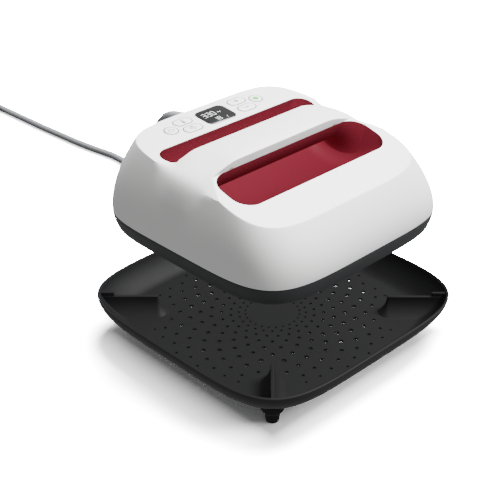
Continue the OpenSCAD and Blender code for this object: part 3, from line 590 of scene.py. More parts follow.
backEnd = crossing(lambda x: crownAt(x, 1) - panelZ(backLine(x)), 70, rearKnee.x)
round1, round2 = housing["recessRound"], housing["slotRound"]
frontX, rearX = housing["recessHalf"] - round1, housing["slotHalf"] - round2
windowSide, slotSide = frontX / frontKnee.x, rearX / rearKnee.x
frontShare, backShare = frontEnd / frontKnee.x, backEnd / rearKnee.x
shares = [0, 0.08, 0.16, 0.24, 0.32, 0.4, 0.48, 0.55, 0.61, 0.67]
shares += [windowSide, (windowSide + slotSide) / 2, slotSide, frontShare]
shares += [lerp(frontShare, backShare, k / 4) for k in range(1, 4)] + [backShare]
shares += [lerp(backShare, 1, k / 8) for k in range(1, 8)] + [1]
shares = [-s for s in reversed(shares[1:])] + shares
print("handle ends, mm:", round(frontEnd, 1), round(backEnd, 1), "corners:", frontKnee, rearKnee)


def frontLine(x):
    if abs(x) <= frontEnd:
        return housing["handleFront"]
    rise = (crownAt(x, 0) - foot - housing["frontEdge"]) / (housing["slopeTop"] - housing["frontEdge"])
    return min(housing["handleFront"], lerp(-roofHalf, housing["handleFront"], rise))


def handlePlace(i, j):
    s, v = shares[i], j / rowCount
    x = s * rowEnds[j].x
    y = lerp(frontLine(s * frontKnee.x), backLine(s * rearKnee.x), v)
    return Vector((x, y, handleTop(x, y, v)))


handle = gridOn("housing_handle", len(shares) - 1, rowCount, handlePlace)

# the handle's front and back faces, which taper to nothing at their ends
frontShares = [i for i, s in enumerate(shares) if abs(s) <= frontShare + hair]
backShares = [i for i, s in enumerate(shares) if abs(s) <= backShare + hair]


def frontFace(i, j):
    top = handlePlace(frontShares[i], 0)
    return lerp(Vector((top.x, top.y, slopeZ(top.y))), top, j / faceCount)


def backFace(i, j):
    top = handlePlace(backShares[i], rowCount)
    return lerp(top, Vector((top.x, top.y, panelZ(top.y))), j / faceCount)


faces = [
    gridOn("housing_front_face", len(frontShares) - 1, faceCount, frontFace),
    gridOn("housing_back_face", len(backShares) - 1, faceCount, backFace),
]


def arc(middle, r, first, last):
    turns = [math.radians(lerp(first, last, k / arcCount)) for k in range(arcCount + 1)]
    return [Vector((middle[0] + r * math.cos(a), middle[1] + r * math.sin(a))) for a in turns]


def runAlong(path, share):
    lengths = [(b - a).length for a, b in zip(path, path[1:])]
    left = clamp(share) * sum(lengths)
    for k, length in enumerate(lengths):
        if left <= length or k == len(lengths) - 1:
            return path[k].lerp(path[k + 1], left / length)
        left -= length


def shareOf(path, index):
    lengths = [(b - a).length for a, b in zip(path, path[1:])]
    return sum(lengths[:index]) / sum(lengths)


def patch(name, inner, innerKeys, outer, outerKeys, across, height, firstRow, turned):
    # a flat face between the edge of an opening and an outer edge; inner and outer are right halves,
    # and the keys are the places on them that lie opposite each other
    lengths = [0]
    for a, b in zip(outer, outer[1:]):
        lengths.append(lengths[-1] + (b - a).length)
    pairs = []
    for k, p in enumerate(outer):
        for (outA, outB), (inA, inB) in zip(zip(outerKeys, outerKeys[1:]), zip(innerKeys, innerKeys[1:])):
            if outA <= k <= outB:
                t = (lengths[k] - lengths[outA]) / (lengths[outB] - lengths[outA])
                pairs.append((runAlong(inner, lerp(inA, inB, t)), p))
                break
    half = len(pairs) - 1

    def place(i, j):
        j = len(across) - 1 - j if turned else j
        left = i > half
        k = 2 * half - i if left else i
        near, far = pairs[k]
        p = firstRow[j] if k == 0 else lerp(near, far.xy, across[j])
        return Vector((-p.x if left else p.x, p.y, height(p.y)))

    return gridOn(name, 2 * half, len(across) - 1, place)


windowPath = (arc((frontX, housing["handleFront"] - round1), round1, 90, 0)
              + arc((frontX, housing["recessFront"] + round1), round1, 0, -90)
              + [Vector((0, housing["recessFront"]))])
slotPath = (arc((rearX, housing["handleBack"] + round2), round2, -90, 0)
            + arc((rearX, housing["slotBack"] - round2), round2, 0, 90)
            + [Vector((0, housing["slotBack"]))])
firstFront, firstBack = shares.index(frontShare), shares.index(backShare)
frontOuter = [handlePlace(i, 0) for i in range(firstFront, len(shares))]
frontTip = len(frontOuter) - 1
frontOuter += [wallPoint(*columns[k]) for k in range(frontCount - 1, -1, -1)]
backOuter = [handlePlace(i, rowCount) for i in range(firstBack, len(shares))]
backTip = len(backOuter) - 1
backOuter += [wallPoint(*columns[k]) for k in range(frontCount + rowCount + 1, halfCount + 1)]
frontAcross = [shares.index(s) for s in shares if windowSide - hair <= s <= frontShare + hair]
backAcross = [shares.index(s) for s in shares if slotSide - hair <= s <= backShare + hair]
frontRun = [(shares[i] - windowSide) / (frontShare - windowSide) for i in frontAcross]
backRun = [(shares[i] - slotSide) / (backShare - slotSide) for i in backAcross]
cornerAt = min(range(frontTip, len(frontOuter)), key=lambda k: abs(frontOuter[k].x + frontOuter[k].y))
rearCornerAt = min(range(backTip, len(backOuter)), key=lambda k: abs(backOuter[k].x - backOuter[k].y))
firstArc, midArc, lastArc = arcCount, arcCount + 1 + arcCount // 2, 2 * arcCount + 1
patches = [
    patch("housing_slope",
          windowPath,
          [0, shareOf(windowPath, firstArc) + housing["slopeLead"], shareOf(windowPath, midArc), 1],
          frontOuter, [0, frontTip, cornerAt, len(frontOuter) - 1], frontRun, slopeZ,
          [handlePlace(i, 0).xy for i in frontAcross], False),
    patch("housing_panel",
          slotPath, [0, shareOf(slotPath, firstArc), shareOf(slotPath, lastArc), 1],
          backOuter, [0, backTip, rearCornerAt, len(backOuter) - 1], backRun, panelZ,
          [handlePlace(i, rowCount).xy for i in backAcross], True),
]
shell = joined("housing_shell", [walls, handle] + faces + patches)
weld(shell)


# the handle's ends: passes of smoothing as (reach, inset), then a full shoulder
ends = {
    "passes": ((3, -9), (6, -3), (10, 1), (14, 5), (18, 9), (22, 12)), "repeat": 14, "past": 2,
    "high": 3, "lean": 0.6, "rise": 0.8, "reach": 42, "front": -20, "back": 36, "run": 24,
    "plainEdge": 28, "beside": 4, "thinTo": 12, "thinRun": 12, "thinnest": 0.06,
}


def nearest(p, points):
    # how far p, on either side, is from the nearest of some points on the right
    p = Vector((abs(p.x), p.y, p.z))
    return min((p - q).length for q in points)


# the soft line where the handle's top runs into the side walls is widest between the slot and the recess
for reach, inset in ends["passes"]:
    first, last = housing["handleFront"] + inset, housing["handleBack"] + ends["past"] - inset
    line = [p for p in rowEnds if first < p.y < last]
    pick(shell, "VERT", lambda p: nearest(p, line) < reach)
    bpy.ops.mesh.vertices_smooth(factor=0.5, repeat=ends["repeat"])
bpy.ops.object.mode_set(mode="OBJECT")
for vert in shell.data.vertices:
    p = vert.co / mm
    share = clamp(1 - (nearest(p, rowEnds) / ends["reach"]) ** 2) ** 2
    share *= easeIn((p.y - ends["front"]) / ends["run"]) * easeIn((ends["back"] - p.y) / ends["run"])
    vert.co += Vector((math.copysign(ends["lean"], p.x), 0, ends["rise"])) * ends["high"] * share * mm
# the points where the handle's faces end, towards which the softened edges thin out
tips = [Vector((frontEnd, housing["handleFront"], slopeZ(housing["handleFront"]))),
        Vector((backEnd, backLine(backEnd), panelZ(backLine(backEnd))))]


def soften(obj, angle, start, run, width):
    only(obj)
    bpy.ops.object.mode_set(mode="EDIT")
    bpy.ops.mesh.select_mode(type="EDGE")
    bpy.ops.mesh.select_all(action="DESELECT")
    bpy.ops.mesh.edges_select_sharp(sharpness=math.radians(angle))
    bpy.ops.object.mode_set(mode="OBJECT")
    mesh = obj.data
    if "bevel_weight_edge" in mesh.attributes:
        mesh.attributes.remove(mesh.attributes["bevel_weight_edge"])
    weights = mesh.attributes.new("bevel_weight_edge", "FLOAT", "EDGE")
    for edge in mesh.edges:
        if edge.select:
            middle = sum((mesh.vertices[k].co for k in edge.vertices), Vector()) / 2 / mm
            first = ends["plainEdge"] if abs(middle.x) > frontEnd - ends["beside"] else start
            weights.data[edge.index].value = clamp((nearest(middle, tips) - first) / run)
    finishWith(obj, "BEVEL", width=width * mm, segments=3, limit_method="WEIGHT", use_clamp_overlap=False)


soften(shell, angle=18, start=3, run=14, width=housing["edge"])
weld(shell, 0.005)
# the wall thins out where the handle's faces end, so that its inside can't show there
full = shell.vertex_groups.new(name="full")
for vert in shell.data.vertices:
    away = nearest(vert.co / mm, tips)
    full.add([vert.index], clamp((away - ends["thinTo"]) / ends["thinRun"], ends["thinnest"]), "REPLACE")
finishWith(shell, "SOLIDIFY", thickness=housing["wall"] * mm, offset=-1, vertex_group="full")
print("housing skin:", len(shell.data.polygons), "faces")


# what sits in the panel, in mm

controls = {
    "display": {"y": 81.6, "width": 37.6, "depth": 29.6, "round": 7.2, "slack": 0.3, "inside": 0.1,
                "thick": 1.5, "edge": 0.3},
    "pill": {"width": 21, "depth": 11.3, "x": 37, "back": 90.2, "front": 74.2},
    "dot": {"across": 13.5, "x": 58, "y": 82.8},
    "gap": 0.85, "proud": 0.4, "deep": 4.2, "edge": 0.5, "cut": 8, "shy": 0.02,
    "seal": {"over": 1, "deep": 2.5, "up": 0.02, "slack": 0.1},
}


def onPanel(x, y):
    return Matrix.Translation(Vector((x, y, panelZ(y))) * mm) @ Matrix.Rotation(panelTilt, 4, "X")


def slab(name, width, depth, low, high, rounding, edge=0.0):
    # a plate with round corners, and a softened upper edge if edge is given
    deselect()
    bpy.ops.mesh.primitive_cube_add(size=1)
    obj = bpy.context.object
    obj.name = name
    obj.data.transform(Matrix.Translation((0, 0, (low + high) / 2 * mm))
                       @ Matrix.Diagonal((width * mm, depth * mm, (high - low) * mm, 1)))
    pick(obj, "EDGE", lambda a, b: abs(a.z - b.z) > 0.001)
    bpy.ops.mesh.bevel(offset=rounding * mm, segments=10, profile=0.5)
    bpy.ops.object.mode_set(mode="OBJECT")
    weld(obj, 0.001)
    if edge:
        pick(obj, "EDGE", lambda a, b: a.z > high - 0.001 and b.z > high - 0.001)
        bpy.ops.mesh.bevel(offset=edge * mm, segments=3, profile=0.5)
        bpy.ops.object.mode_set(mode="OBJECT")
    return obj


def cutFrom(obj, cutters, solver="EXACT"):
    for cutter in cutters:
        finishWith(obj, "BOOLEAN", operation="DIFFERENCE", solver=solver, object=cutter)
        bpy.data.objects.remove(cutter)


pill, dot, display = controls["pill"], controls["dot"], controls["display"]
keyPlaces = {
    "key_temperature": (-pill["x"], pill["back"]), "key_timer": (-pill["x"], pill["front"]),
    "key_plus": (pill["x"], pill["back"]), "key_minus": (pill["x"], pill["front"]),
    "key_power": (-dot["x"], dot["y"]), "key_start": (dot["x"], dot["y"]),
}


def keySlab(name, key, over, low, high, edge=0.0):
    # a plate in a key's outline, wider by over all round; its ends stop just shy of half circles
    wide, deep = pill["width"] + 2 * over, pill["depth"] + 2 * over
    if key in ("key_power", "key_start"):
        wide = deep = dot["across"] + 2 * over
    return slab(name, wide, deep, low, high, deep / 2 - controls["shy"], edge)


cutters = []
for name, (x, y) in keyPlaces.items():
    cutter = keySlab("cutter", name, controls["gap"], -controls["cut"], controls["cut"])
    cutter.data.transform(onPanel(x, y))
    cutters.append(cutter)
cutter = slab("cutter", display["width"] + display["slack"], display["depth"] + display["slack"],
              -controls["cut"], controls["cut"], display["round"])
cutter.data.transform(onPanel(0, display["y"]))
cutFrom(shell, cutters + [cutter])
soften(shell, angle=62, start=24, run=12, width=housing["cutEdge"])
smooth(shell, 42)
finishWith(shell, "WEIGHTED_NORMAL", keep_sharp=True)
dress(shell, whiteAbs, "press", ("upper_shell",))
print("housing done:", len(shell.data.polygons), "faces")


# recess: a red scoop that runs under the handle, and the handle's underside

recess = {
    "low": foot, "frontPull": 30, "fillet": 15, "wall": 2, "inside": 0.2, "lip": 0.55, "deep": 6,
    "strip": 0.3, "skin": 0.6, "shellSkin": 3.4, "middle": 7, "cover": 46, "coverRun": 8, "hidden": 36,
}


def curve(a, b, c, d, t):
    u = 1 - t
    return u ** 3 * a + 3 * u * u * t * b + 3 * u * t * t * c + t ** 3 * d


def recessHalf(y):
    # half the scoop's width at y
    first, last = housing["recessFront"] + round1, housing["slotBack"] - round2
    if y < first:
        half = frontX + math.sqrt(max(0, round1 ** 2 - (y - first) ** 2))
    elif y > last:
        half = rearX + math.sqrt(max(0, round2 ** 2 - (y - last) ** 2))
    else:
        half = lerp(housing["recessHalf"], housing["slotHalf"], (y - first) / (last - first))
    return half - recess["inside"]


def recessTop(y):
    # just under the openings' edges, and under the shell's wall where the handle's ends cover the scoop
    roof, end = (slopeZ(y), 0) if y < recess["middle"] else (panelZ(y), 1)
    covered = easeIn((recess["cover"] - abs(y)) / recess["coverRun"])
    top = roof - lerp(recess["skin"], recess["shellSkin"], covered)
    if abs(y) < recess["hidden"]:
        top = min(top, crownAt(housing["recessHalf"], end) - recess["shellSkin"])
    return top


sideCount, floorCount, filletCount, riseCount = 56, 20, 8, 5
halfSpan = floorCount + filletCount + riseCount
sideShares = [0.5 - 0.5 * math.cos(math.pi * k / sideCount) for k in range(sideCount + 1)]
scoopFront, scoopBack = housing["recessFront"] + recess["inside"], housing["slotBack"] - recess["inside"]
sideCurve = [
    Vector((scoopFront, slopeZ(housing["recessFront"]) - recess["skin"])),
    Vector((housing["recessFront"] + recess["frontPull"], recess["low"])),
    Vector((scoopBack, recess["low"])),
    Vector((scoopBack, panelZ(housing["slotBack"]) - recess["skin"])),
]


def scoopPlace(i, j):
    side = curve(*sideCurve, sideShares[j])
    half, rise = recessHalf(side.x), max(0.0, recessTop(side.x) - side.y)
    r = min(recess["fillet"], rise)
    k = i - halfSpan
    n = abs(k)
    if n <= floorCount:
        x, z = (half - r) * n / floorCount, 0
    elif n <= floorCount + filletCount:
        a = math.pi / 2 * (n - floorCount) / filletCount
        x, z = half - r + r * math.sin(a), r - r * math.cos(a)
    else:
        x, z = half, lerp(r, rise, (n - floorCount - filletCount) / riseCount)
    return Vector((x if k > 0 else -x, side.x, side.y + z))


scoop = gridOn("recess_lining", 2 * halfSpan, sideCount, scoopPlace)
weld(scoop, 0.004)


def collar(name, path, height, middle):
    # a strip that hangs just inside the edge of an opening, except at the corners beside the handle
    path = path[arcCount - 3:]
    line = path + [Vector((-p.x, p.y)) for p in reversed(path[:-1])]

    def place(i, j):
        p = line[i]
        inward = (Vector((clamp(p.x, -frontX, frontX), middle)) - p).normalized()
        p = p + recess["inside"] * inward
        return Vector((p.x, p.y, height(p.y) - lerp(recess["lip"], recess["deep"], j)))

    strip = gridOn(name, len(line) - 1, 1, place)
    finishWith(strip, "SOLIDIFY", thickness=recess["strip"] * mm, offset=0)
    return strip


strips = [collar("recess_collar", windowPath, slopeZ, (housing["recessFront"] + housing["handleFront"]) / 2),
          collar("slot_collar", slotPath, panelZ, (housing["slotBack"] + housing["handleBack"]) / 2)]
finishWith(scoop, "SOLIDIFY", thickness=recess["wall"] * mm, offset=-1)
scoop = joined("recess_lining", [scoop] + strips)
smooth(scoop, 50)
dress(scoop, redAbs, "press", ("recess_scoop",))

grip = {
    "low": 198.5, "flareFrom": 74, "flareShare": 0.7, "flare": 26, "wall": 1.6, "half": 99.5,
    "tuckIn": -0.15, "tuckOut": 0.35, "skin": 0.6, "bareRun": 5, "short": 0.4, "frontPull": 2, "backPull": -6,
    "across": 96, "along": 40,
}


def gripEdge(x, roof, straight, y, r, way):
    # the edge that the handle's underside hangs from: the handle's foot, then round the opening's corner
    over = clamp(abs(x) - straight, 0, r - grip["short"])
    bare = easeIn((abs(x) - straight) / grip["bareRun"])
    tuck = lerp(grip["tuckIn"], grip["tuckOut"], bare)
    at = y + way * (tuck + r - math.sqrt(r * r - over * over))
    return Vector((at, roof(at) + lerp(grip["skin"], -grip["skin"], bare)))


def gripPlace(i, j):
    s = lerp(-1, 1, i / grip["across"])
    a = math.pi / 2 * max(0, abs(s) - grip["flareShare"]) / (1 - grip["flareShare"])
    x = grip["flareFrom"] * min(1, abs(s) / grip["flareShare"])
    x += (grip["half"] - grip["flareFrom"]) * math.sin(a)
    front = gripEdge(x, slopeZ, frontX, housing["handleFront"], round1, -1)
    back = gripEdge(x, panelZ, rearX, housing["handleBack"], round2, 1)
    pull = ((front.y + back.y) / 2 - grip["low"] + grip["flare"] * (1 - math.cos(a))) * 4 / 3
    frontArm, backArm = Vector((grip["frontPull"], -pull)), Vector((grip["backPull"], -pull))
    p = curve(front, front + frontArm, back + backArm, back, j / grip["along"])
    return Vector((math.copysign(x, s), p.x, p.y))


gripUnder = gridOn("handle_underside", grip["across"], grip["along"], gripPlace)
pick(gripUnder, "FACE", lambda c, n: True)
bpy.ops.mesh.flip_normals()
bpy.ops.object.mode_set(mode="OBJECT")
finishWith(gripUnder, "SOLIDIFY", thickness=grip["wall"] * mm, offset=-1)
smooth(gripUnder, 50)
dress(gripUnder, redAbs, "press", ("handle_liner",))
print("recess done")


# skirt and stand: closed sections carried round a square with bowed sides

ringCount = 288


def bowedAt(half, square, i):
    a = 2 * math.pi * i / ringCount
    c, s = math.cos(a), math.sin(a)
    power = 2 / square
    return Vector((math.copysign(abs(c) ** power, c), math.copysign(abs(s) ** power, s))) * half


def roundedAt(half, r, way):
    # where a line from the middle leaves a square with round corners
    x, y = abs(way.x), abs(way.y)
    t = half / max(x, y)
    if min(x, y) * t > half - r:
        c = half - r
        along = c * (x + y) / way.length
        t = (along + math.sqrt(max(0, along ** 2 - 2 * c * c + r * r))) / way.length
    return way * t


def carried(name, section, square):
    # section holds (half-width, height) or (half-width, height, corner radius) and closes on itself
    def place(i, j):
        part = section[j % len(section)]
        p = bowedAt(part[0], square, i % ringCount)
        if len(part) > 2:
            p = roundedAt(part[0], part[2], bowedAt(1, square, i % ringCount))
        return Vector((p.x, p.y, part[1]))

    return closed(gridOn(name, ringCount, len(section), place), 0.002)


skirtSizes = {"low": 134.1, "high": foot, "lowHalf": 127.3, "topHalf": 130.5, "wall": 3, "square": 4.9,
              "flange": 3, "opening": 115.3, "openingRound": 33, "edge": 1.5, "shadowGap": 0.5}


def skirtHalf(t):
    return lerp(skirtSizes["lowHalf"], skirtSizes["topHalf"], math.sin(math.pi / 2 * t))


low, edge = skirtSizes["low"], skirtSizes["edge"]
top = skirtSizes["high"] - skirtSizes["shadowGap"]
section = [(skirtSizes["opening"], low, skirtSizes["openingRound"])]
for k in range(6):
    a = math.pi / 2 * k / 5
    section.append((skirtSizes["lowHalf"] - edge + edge * math.sin(a), low + edge - edge * math.cos(a)))
section += [(skirtHalf(k / 10), lerp(low + edge, top, k / 10)) for k in range(1, 10)]
section += [(skirtSizes["topHalf"] - edge / 10, top - edge / 6),
            (skirtSizes["topHalf"] - edge * 0.4, top),
            (skirtSizes["topHalf"] - skirtSizes["wall"], top),
            (skirtSizes["lowHalf"] - skirtSizes["wall"], low + skirtSizes["flange"]),
            (skirtSizes["opening"], low + skirtSizes["flange"], skirtSizes["openingRound"])]
skirt = carried("plate_skirt", section, skirtSizes["square"])
smooth(skirt, 40)
dress(skirt, darkNylon, "press", ("skirt",))

stand = {
    "half": 150, "square": 4.8, "under": 20.5, "rim": 50.5, "wall": 2.5, "draw": 19.5, "innerDraw": 18.5,
    "innerCurl": 1.8, "floor": 23.5, "opening": 124.3, "filletFrom": 5, "filletTo": 29, "edge": 1.2,
    "lowEdge": 0.5,
}
rest = {
    "top": 43.8, "ridge": 3.5, "foot": 25, "inner": 109, "ridgeInner": 120, "root": 22, "spread": 2.2,
    "land": 0.6, "landEdge": 0.2, "edge": 0.5, "bow": 80, "sunk": 0.5, "round": 24,
    "stopAt": 166, "stopUp": 4.7, "stopWidth": 2.7, "stopEdge": 0.4, "stopSunk": 0.35,
}


def standHalf(z):
    share = (z - stand["under"]) / (stand["rim"] - stand["under"])
    return stand["half"] - stand["draw"] * (1 - math.sin(math.pi / 2 * share))


def standInner(z):
    share = (stand["rim"] - z) / (stand["rim"] - stand["floor"])
    return stand["half"] - stand["wall"] - stand["innerDraw"] * share ** stand["innerCurl"]


edge, rim, rimHalf = stand["edge"], stand["rim"] - stand["edge"], stand["wall"] / 2
section = [(stand["opening"], stand["under"])]
fillet = [Vector((stand["opening"], stand["floor"])),
          Vector((stand["opening"] + stand["filletFrom"], stand["floor"])),
          Vector((standInner(stand["filletTo"]), stand["filletTo"]))]
for k in range(11):
    t = k / 10
    section.append(tuple((1 - t) ** 2 * fillet[0] + 2 * t * (1 - t) * fillet[1] + t * t * fillet[2]))
for k in range(1, 15):
    z = lerp(stand["filletTo"], rim, k / 14)
    section.append((standInner(z), z))
for k in range(1, 8):
    a = math.pi * k / 8
    section.append((stand["half"] - rimHalf - rimHalf * math.cos(a), rim + edge * math.sin(a)))
for k in range(15):
    z = lerp(rim, stand["under"] + stand["lowEdge"], k / 14)
    section.append((standHalf(z), z))
section.append((standHalf(stand["under"]) - 0.8 * stand["lowEdge"], stand["under"]))
tray = carried("stand_tray", section, stand["square"])

cornerReach = 2 ** (0.5 - 1 / stand["square"])


def restPlace(levels, sunk):
    # a bar with a round inner end, whose outer end is hidden in the tray's wall
    def place(i, j):
        inner, half, z = levels[clamp(j - 1, 0, len(levels) - 1)]
        outer = (standHalf(z) - stand["wall"] * sunk) * cornerReach
        if j in (0, len(levels) + 1):
            return Vector(((inner + outer) / 2, 0, z))
        k = i % (rest["round"] + 4)
        if k <= rest["round"]:
            a = math.radians(90 + 180 * k / rest["round"])
            return Vector((inner + half + half * math.cos(a), half * math.sin(a), z))
        side = (-1, 0, 1)[k - rest["round"] - 1]
        return Vector((outer - half * half / rest["bow"], half * side, z))
    return place


# levels of a bar, from its foot up: where it starts, half its width, its height
start, half, brim = rest["inner"] - rest["land"], rest["foot"] / 2 + rest["land"], rest["landEdge"]
levels = [(start, half, stand["under"]), (start, half, stand["floor"] - brim),
          (start + brim, half - brim, stand["floor"])]
for k in range(2, 25):
    share = (1 - k / 24) ** rest["spread"]
    levels.append((lerp(rest["ridgeInner"], rest["inner"], share),
                   lerp(rest["ridge"], rest["foot"], share) / 2,
                   lerp(rest["root"], rest["top"], k / 24)))
inner, half, z = levels.pop()
for inset, drop in ((0, 1), (0.3, 0.3), (1, 0)):
    levels.append((inner + inset * rest["edge"], half - inset * rest["edge"], z - drop * rest["edge"]))
half, high, edge = rest["stopWidth"] / 2, rest["top"] + rest["stopUp"], rest["stopEdge"]
stopLevels = [(rest["stopAt"], half, rest["top"] - rest["stopUp"]), (rest["stopAt"], half, high - edge),
              (rest["stopAt"] + edge, half - edge, high)]
bars = []
for turnBy in (45, 135, 225, 315):
    for its, sunk in ((levels, rest["sunk"]), (stopLevels, rest["stopSunk"])):
        bar = closed(gridOn("rest", rest["round"] + 4, len(its) + 1, restPlace(its, sunk)), 0.002)
        bar.data.transform(Matrix.Rotation(math.radians(turnBy), 4, "Z"))
        bars.append(bar)
tray = joined("stand_tray", [tray] + bars)
smooth(tray, 35)
dress(tray, blackPp, "base", ("base_tray",))

# feet, which widen where they meet the tray
feet = {
    "at": 149.5, "tip": 6.7, "top": 12.2, "high": 21, "round": 1.4, "flare": 0.65, "flareFrom": 0.4,
    "flareRun": 0.3, "sides": 32, "roundRows": 4, "rows": 18,
}
footRows = feet["roundRows"] + feet["rows"] + 2


def footPlace(i, j):
    a = 2 * math.pi * (i % feet["sides"]) / feet["sides"]
    if j in (0, footRows):
        return Vector((0, 0, 0 if j == 0 else feet["high"]))
    if j <= feet["roundRows"] + 1:
        bend = math.pi / 2 * (j - 1) / feet["roundRows"]
        r = feet["tip"] - feet["round"] * (1 - math.sin(bend))
        z = feet["round"] * (1 - math.cos(bend))
    else:
        t = (j - feet["roundRows"] - 1) / feet["rows"]
        r = lerp(feet["tip"], feet["top"],
                 lerp(t, easeIn((t - feet["flareFrom"]) / feet["flareRun"]), feet["flare"]))
        z = lerp(feet["round"], feet["high"], t)
    return Vector((r * math.cos(a), r * math.sin(a), z))


pads = []
for name, turnBy in (("front_left", 225), ("front_right", 315), ("back_left", 135), ("back_right", 45)):
    pad = closed(gridOn("pad_" + name, feet["sides"], footRows, footPlace), 0.002)
    a = math.radians(turnBy)
    pad.data.transform(Matrix.Translation((feet["at"] * mm * math.cos(a), feet["at"] * mm * math.sin(a), 0)))
    smooth(pad, 40)
    dress(pad, footRubber, "base", ("foot_" + name,))
    pads.append(pad)

# perforated floor: rings of holes that are widest part of the way out
vent = {
    "half": 127.5, "edge": 124.35, "top": stand["floor"], "thick": 2.2, "count": 24, "small": 2.4,
    "large": 5.8, "largeAt": 86, "clear": 5, "drill": 12, "sides": 24,
    "rings": [0.225, 0.279, 0.347, 0.424, 0.51, 0.599, 0.686, 0.768, 0.838, 0.902, 0.951, 0.988],
}
vent["radii"] = [vent["half"] * share for share in vent["rings"]]


def ventAcross(r):
    inner, most = vent["radii"][0], vent["largeAt"]
    away = (most - r) / (most - inner) if r < most else (r - most) / (vent["half"] - most)
    return max(vent["small"], lerp(vent["large"], vent["small"], away))


def ventRoom(x, y, across):
    # whether a hole keeps clear of the floor's edge and of the rests
    margin = across / 2 + vent["clear"]
    along, beside = (abs(x) + abs(y)) / math.sqrt(2), abs(abs(x) - abs(y)) / math.sqrt(2)
    toe = max(0, rest["inner"] + rest["foot"] / 2 - along)
    square = (abs(x) ** stand["square"] + abs(y) ** stand["square"]) ** (1 / stand["square"])
    return square < vent["half"] - margin and math.hypot(toe, beside) > rest["foot"] / 2 + margin


low = vent["top"] - vent["thick"]
section = [(0, low), (vent["edge"], low), (vent["edge"], vent["top"]), (0, vent["top"])]
ventFloor = carried("vent_floor", section, stand["square"])
drills = []
for k, r in enumerate(vent["radii"]):
    for i in range(vent["count"]):
        a = math.radians(45 + (i + (0.5 if k % 2 == 0 else 0)) * 360 / vent["count"])
        x, y, across = r * math.cos(a), r * math.sin(a), ventAcross(r)
        if ventRoom(x, y, across):
            deselect()
            bpy.ops.mesh.primitive_cylinder_add(vertices=vent["sides"], radius=across / 2 * mm,
                                                depth=vent["drill"] * mm)
            drill = bpy.context.object
            drill.data.transform(Matrix.Translation((x * mm, y * mm, vent["top"] * mm)))
            drills.append(drill)
print("holes in the stand's floor:", len(drills))
cutFrom(ventFloor, [joined("drills", drills)], "MANIFOLD")
smooth(ventFloor, 35)
dress(ventFloor, floorPpPaintedLighter, "base", ("vent_panel",))
print("skirt and stand done")


# keys and display

def plain(width, depth, x, y, up, thick, rounding=0.2):
    # a printed bar
    bar = slab("print", width, depth, up - thick, up, min(rounding, min(width, depth) / 2 * 0.98))
    bar.data.transform(Matrix.Translation((x * mm, y * mm, 0)))
    return bar


def hoop(r, width, x, y, first=0, last=360, *, up, thick):
    # a printed ring or part of one
    count = 40

    def place(i, j):
        a = math.radians(lerp(first, last, i / count))
        out = r + width / 2 if j in (1, 2) else r - width / 2
        return Vector((x + out * math.cos(a), y + out * math.sin(a), up - (thick if j in (0, 1, 4) else 0)))

    return closed(gridOn("print", count, 4, place), 0.001)


def printed(mark, up, thick):
    # thick enough to stand clear of what it is printed on
    rings = [hoop(*ring, up=up, thick=thick) for ring in mark.get("rings", ())]
    return rings + [plain(*bar, up, thick) for bar in mark.get("bars", ())]


# bars are width, depth, x, y; rings are radius, line width, x, y and, for a part of one, its two angles
marks = {
    "key_temperature": {
        "rings": [(1.0, 0.6, 0, 2.4, 0, 180), (1.6, 0.6, 0, -2.6, 125, 415), (0.5, 1.0, 0, -2.6)],
        "bars": [(0.6, 3.8, -1.0, 0.5), (0.6, 3.8, 1.0, 0.5), (0.9, 3.4, 0, -0.9)],
    },
    "key_timer": {
        "rings": [(2.7, 0.8, 0, -0.5)],
        "bars": [(2.0, 0.8, 0, 3.5), (0.8, 1.0, 0, 2.8), (0.7, 2.0, 0, 0.4), (1.5, 0.7, 0.5, -0.5)],
    },
    "key_plus": {"bars": [(5.4, 1.3, 0, 0), (1.3, 5.4, 0, 0)]},
    "key_minus": {"bars": [(5.8, 1.3, 0, 0)]},
    "key_power": {"rings": [(2.7, 0.7, 0, -0.2, 125, 415)], "bars": [(0.7, 2.8, 0, 2.0)]},
    "key_start": {"rings": [(1.6, 3.2, 0, 0)]},
}
ink = {"up": controls["proud"] + 0.05, "thick": 0.12}
gapShadeSizes = controls["seal"]
for name, (x, y) in keyPlaces.items():
    cap = keySlab(name + "_cap", name, 0, -controls["deep"], controls["proud"], controls["edge"])
    cap.data.transform(onPanel(x, y))
    smooth(cap, 40)
    dress(cap, whiteAbs, name, (name,))
    # a dark strip under the gap round the key, painted shade for the gap
    seal = keySlab(name + "_seal", name, gapShadeSizes["over"], -gapShadeSizes["deep"], gapShadeSizes["up"])
    hole = keySlab("hole", name, gapShadeSizes["slack"] / 2, -controls["cut"], controls["cut"])
    cutFrom(seal, [hole], "MANIFOLD")
    seal.data.transform(onPanel(x, y))
    dress(seal, keyGapShade, "press")
    mark = joined(name + "_mark", printed(marks[name], **ink))
    mark.data.transform(onPanel(x, y))
    dress(mark, keyPrintGreen if name == "key_start" else keyPrint, name)

inside = display["inside"]
pane = slab("display_pane", display["width"] - inside, display["depth"] - inside, -display["thick"], 0,
            display["round"] - inside, display["edge"])
pane.data.transform(onPanel(0, display["y"]))
smooth(pane, 40)
dress(pane, smokedAcrylic, "press", ("display_window",))

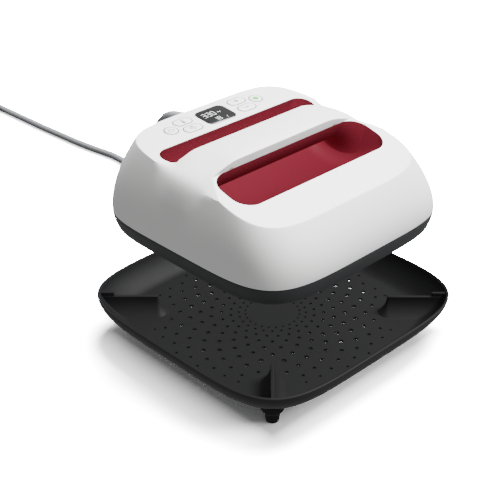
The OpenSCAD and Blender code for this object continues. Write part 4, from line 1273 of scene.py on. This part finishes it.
segments = {"0": "abcdef", "1": "bc", "2": "abged", "3": "abgcd", "4": "fgbc", "5": "afgcd", "6": "afgedc",
            "7": "abc", "8": "abcdefg", "9": "abcdfg"}
readout = {
    "rows": [{"text": "330", "height": 7.4, "x": -11.6, "step": 5.8, "y": 0.2},
             {"text": "18", "height": 6.0, "x": -5.6, "step": 4.8, "y": -10.4}],
    "wide": 0.5, "bar": 0.065, "clear": 0.4, "round": 0.45, "up": 0.04, "thick": 0.08,
    "units": {"rings": [(0.6, 0.35, 6.0, 3.0)],
              "bars": [(0.35, 2.4, 8.0, 2.0), (1.4, 0.35, 8.7, 3.1), (0.35, 2.2, 8.0, -9.6),
                       (1.2, 0.35, 8.6, -8.6)]},
}


def figure(character, x, y, height):
    # one figure of seven bars
    w, t = height * readout["wide"], height * readout["bar"]
    spots = {"a": (0, height, 1), "g": (0, height / 2, 1), "d": (0, 0, 1), "f": (-w / 2, height * 0.75, 0),
             "b": (w / 2, height * 0.75, 0), "e": (-w / 2, height * 0.25, 0), "c": (w / 2, height * 0.25, 0)}
    bars = []
    for key in segments[character]:
        px, py, flat = spots[key]
        length = (w if flat else height / 2) - t * readout["clear"]
        size = (length, t) if flat else (t, length)
        bars.append(plain(*size, x + px, y + py, readout["up"], readout["thick"], t * readout["round"]))
    return bars


bars = printed(readout["units"], readout["up"], readout["thick"])
for row in readout["rows"]:
    for k, character in enumerate(row["text"]):
        bars += figure(character, row["x"] + row["step"] * k, row["y"], row["height"])
digits = joined("display_figures", bars)
digits.data.transform(onPanel(0, display["y"]))
dress(digits, litSegment, "press")
print("controls done")

# as in the photograph, the stand is lit from the right, without the press's shadow, and the recess from the
# viewer's side, and the other two lamps leave both alone
standPieces, recessPieces = [tray, ventFloor] + pads, [scoop, gripUnder]
lit = {
    "top": {"kind": "receiver", "state": "EXCLUDE", "pieces": standPieces + recessPieces},
    "key": {"kind": "receiver", "state": "EXCLUDE", "pieces": standPieces + recessPieces},
    "front": {"kind": "receiver", "state": "INCLUDE", "pieces": standPieces},
    "front_shade": {"kind": "blocker", "state": "INCLUDE", "pieces": standPieces},
    "recess": {"kind": "receiver", "state": "INCLUDE", "pieces": recessPieces},
    "recess_shade": {"kind": "blocker", "state": "INCLUDE", "pieces": standPieces},
}
for name, entry in lit.items():
    group = bpy.data.collections.new(name + "_pieces")
    for obj in entry["pieces"]:
        group.objects.link(obj)
    for held in group.collection_objects:
        held.light_linking.link_state = entry["state"]
    setattr(bpy.data.objects[name.split("_")[0]].light_linking, entry["kind"] + "_collection", group)
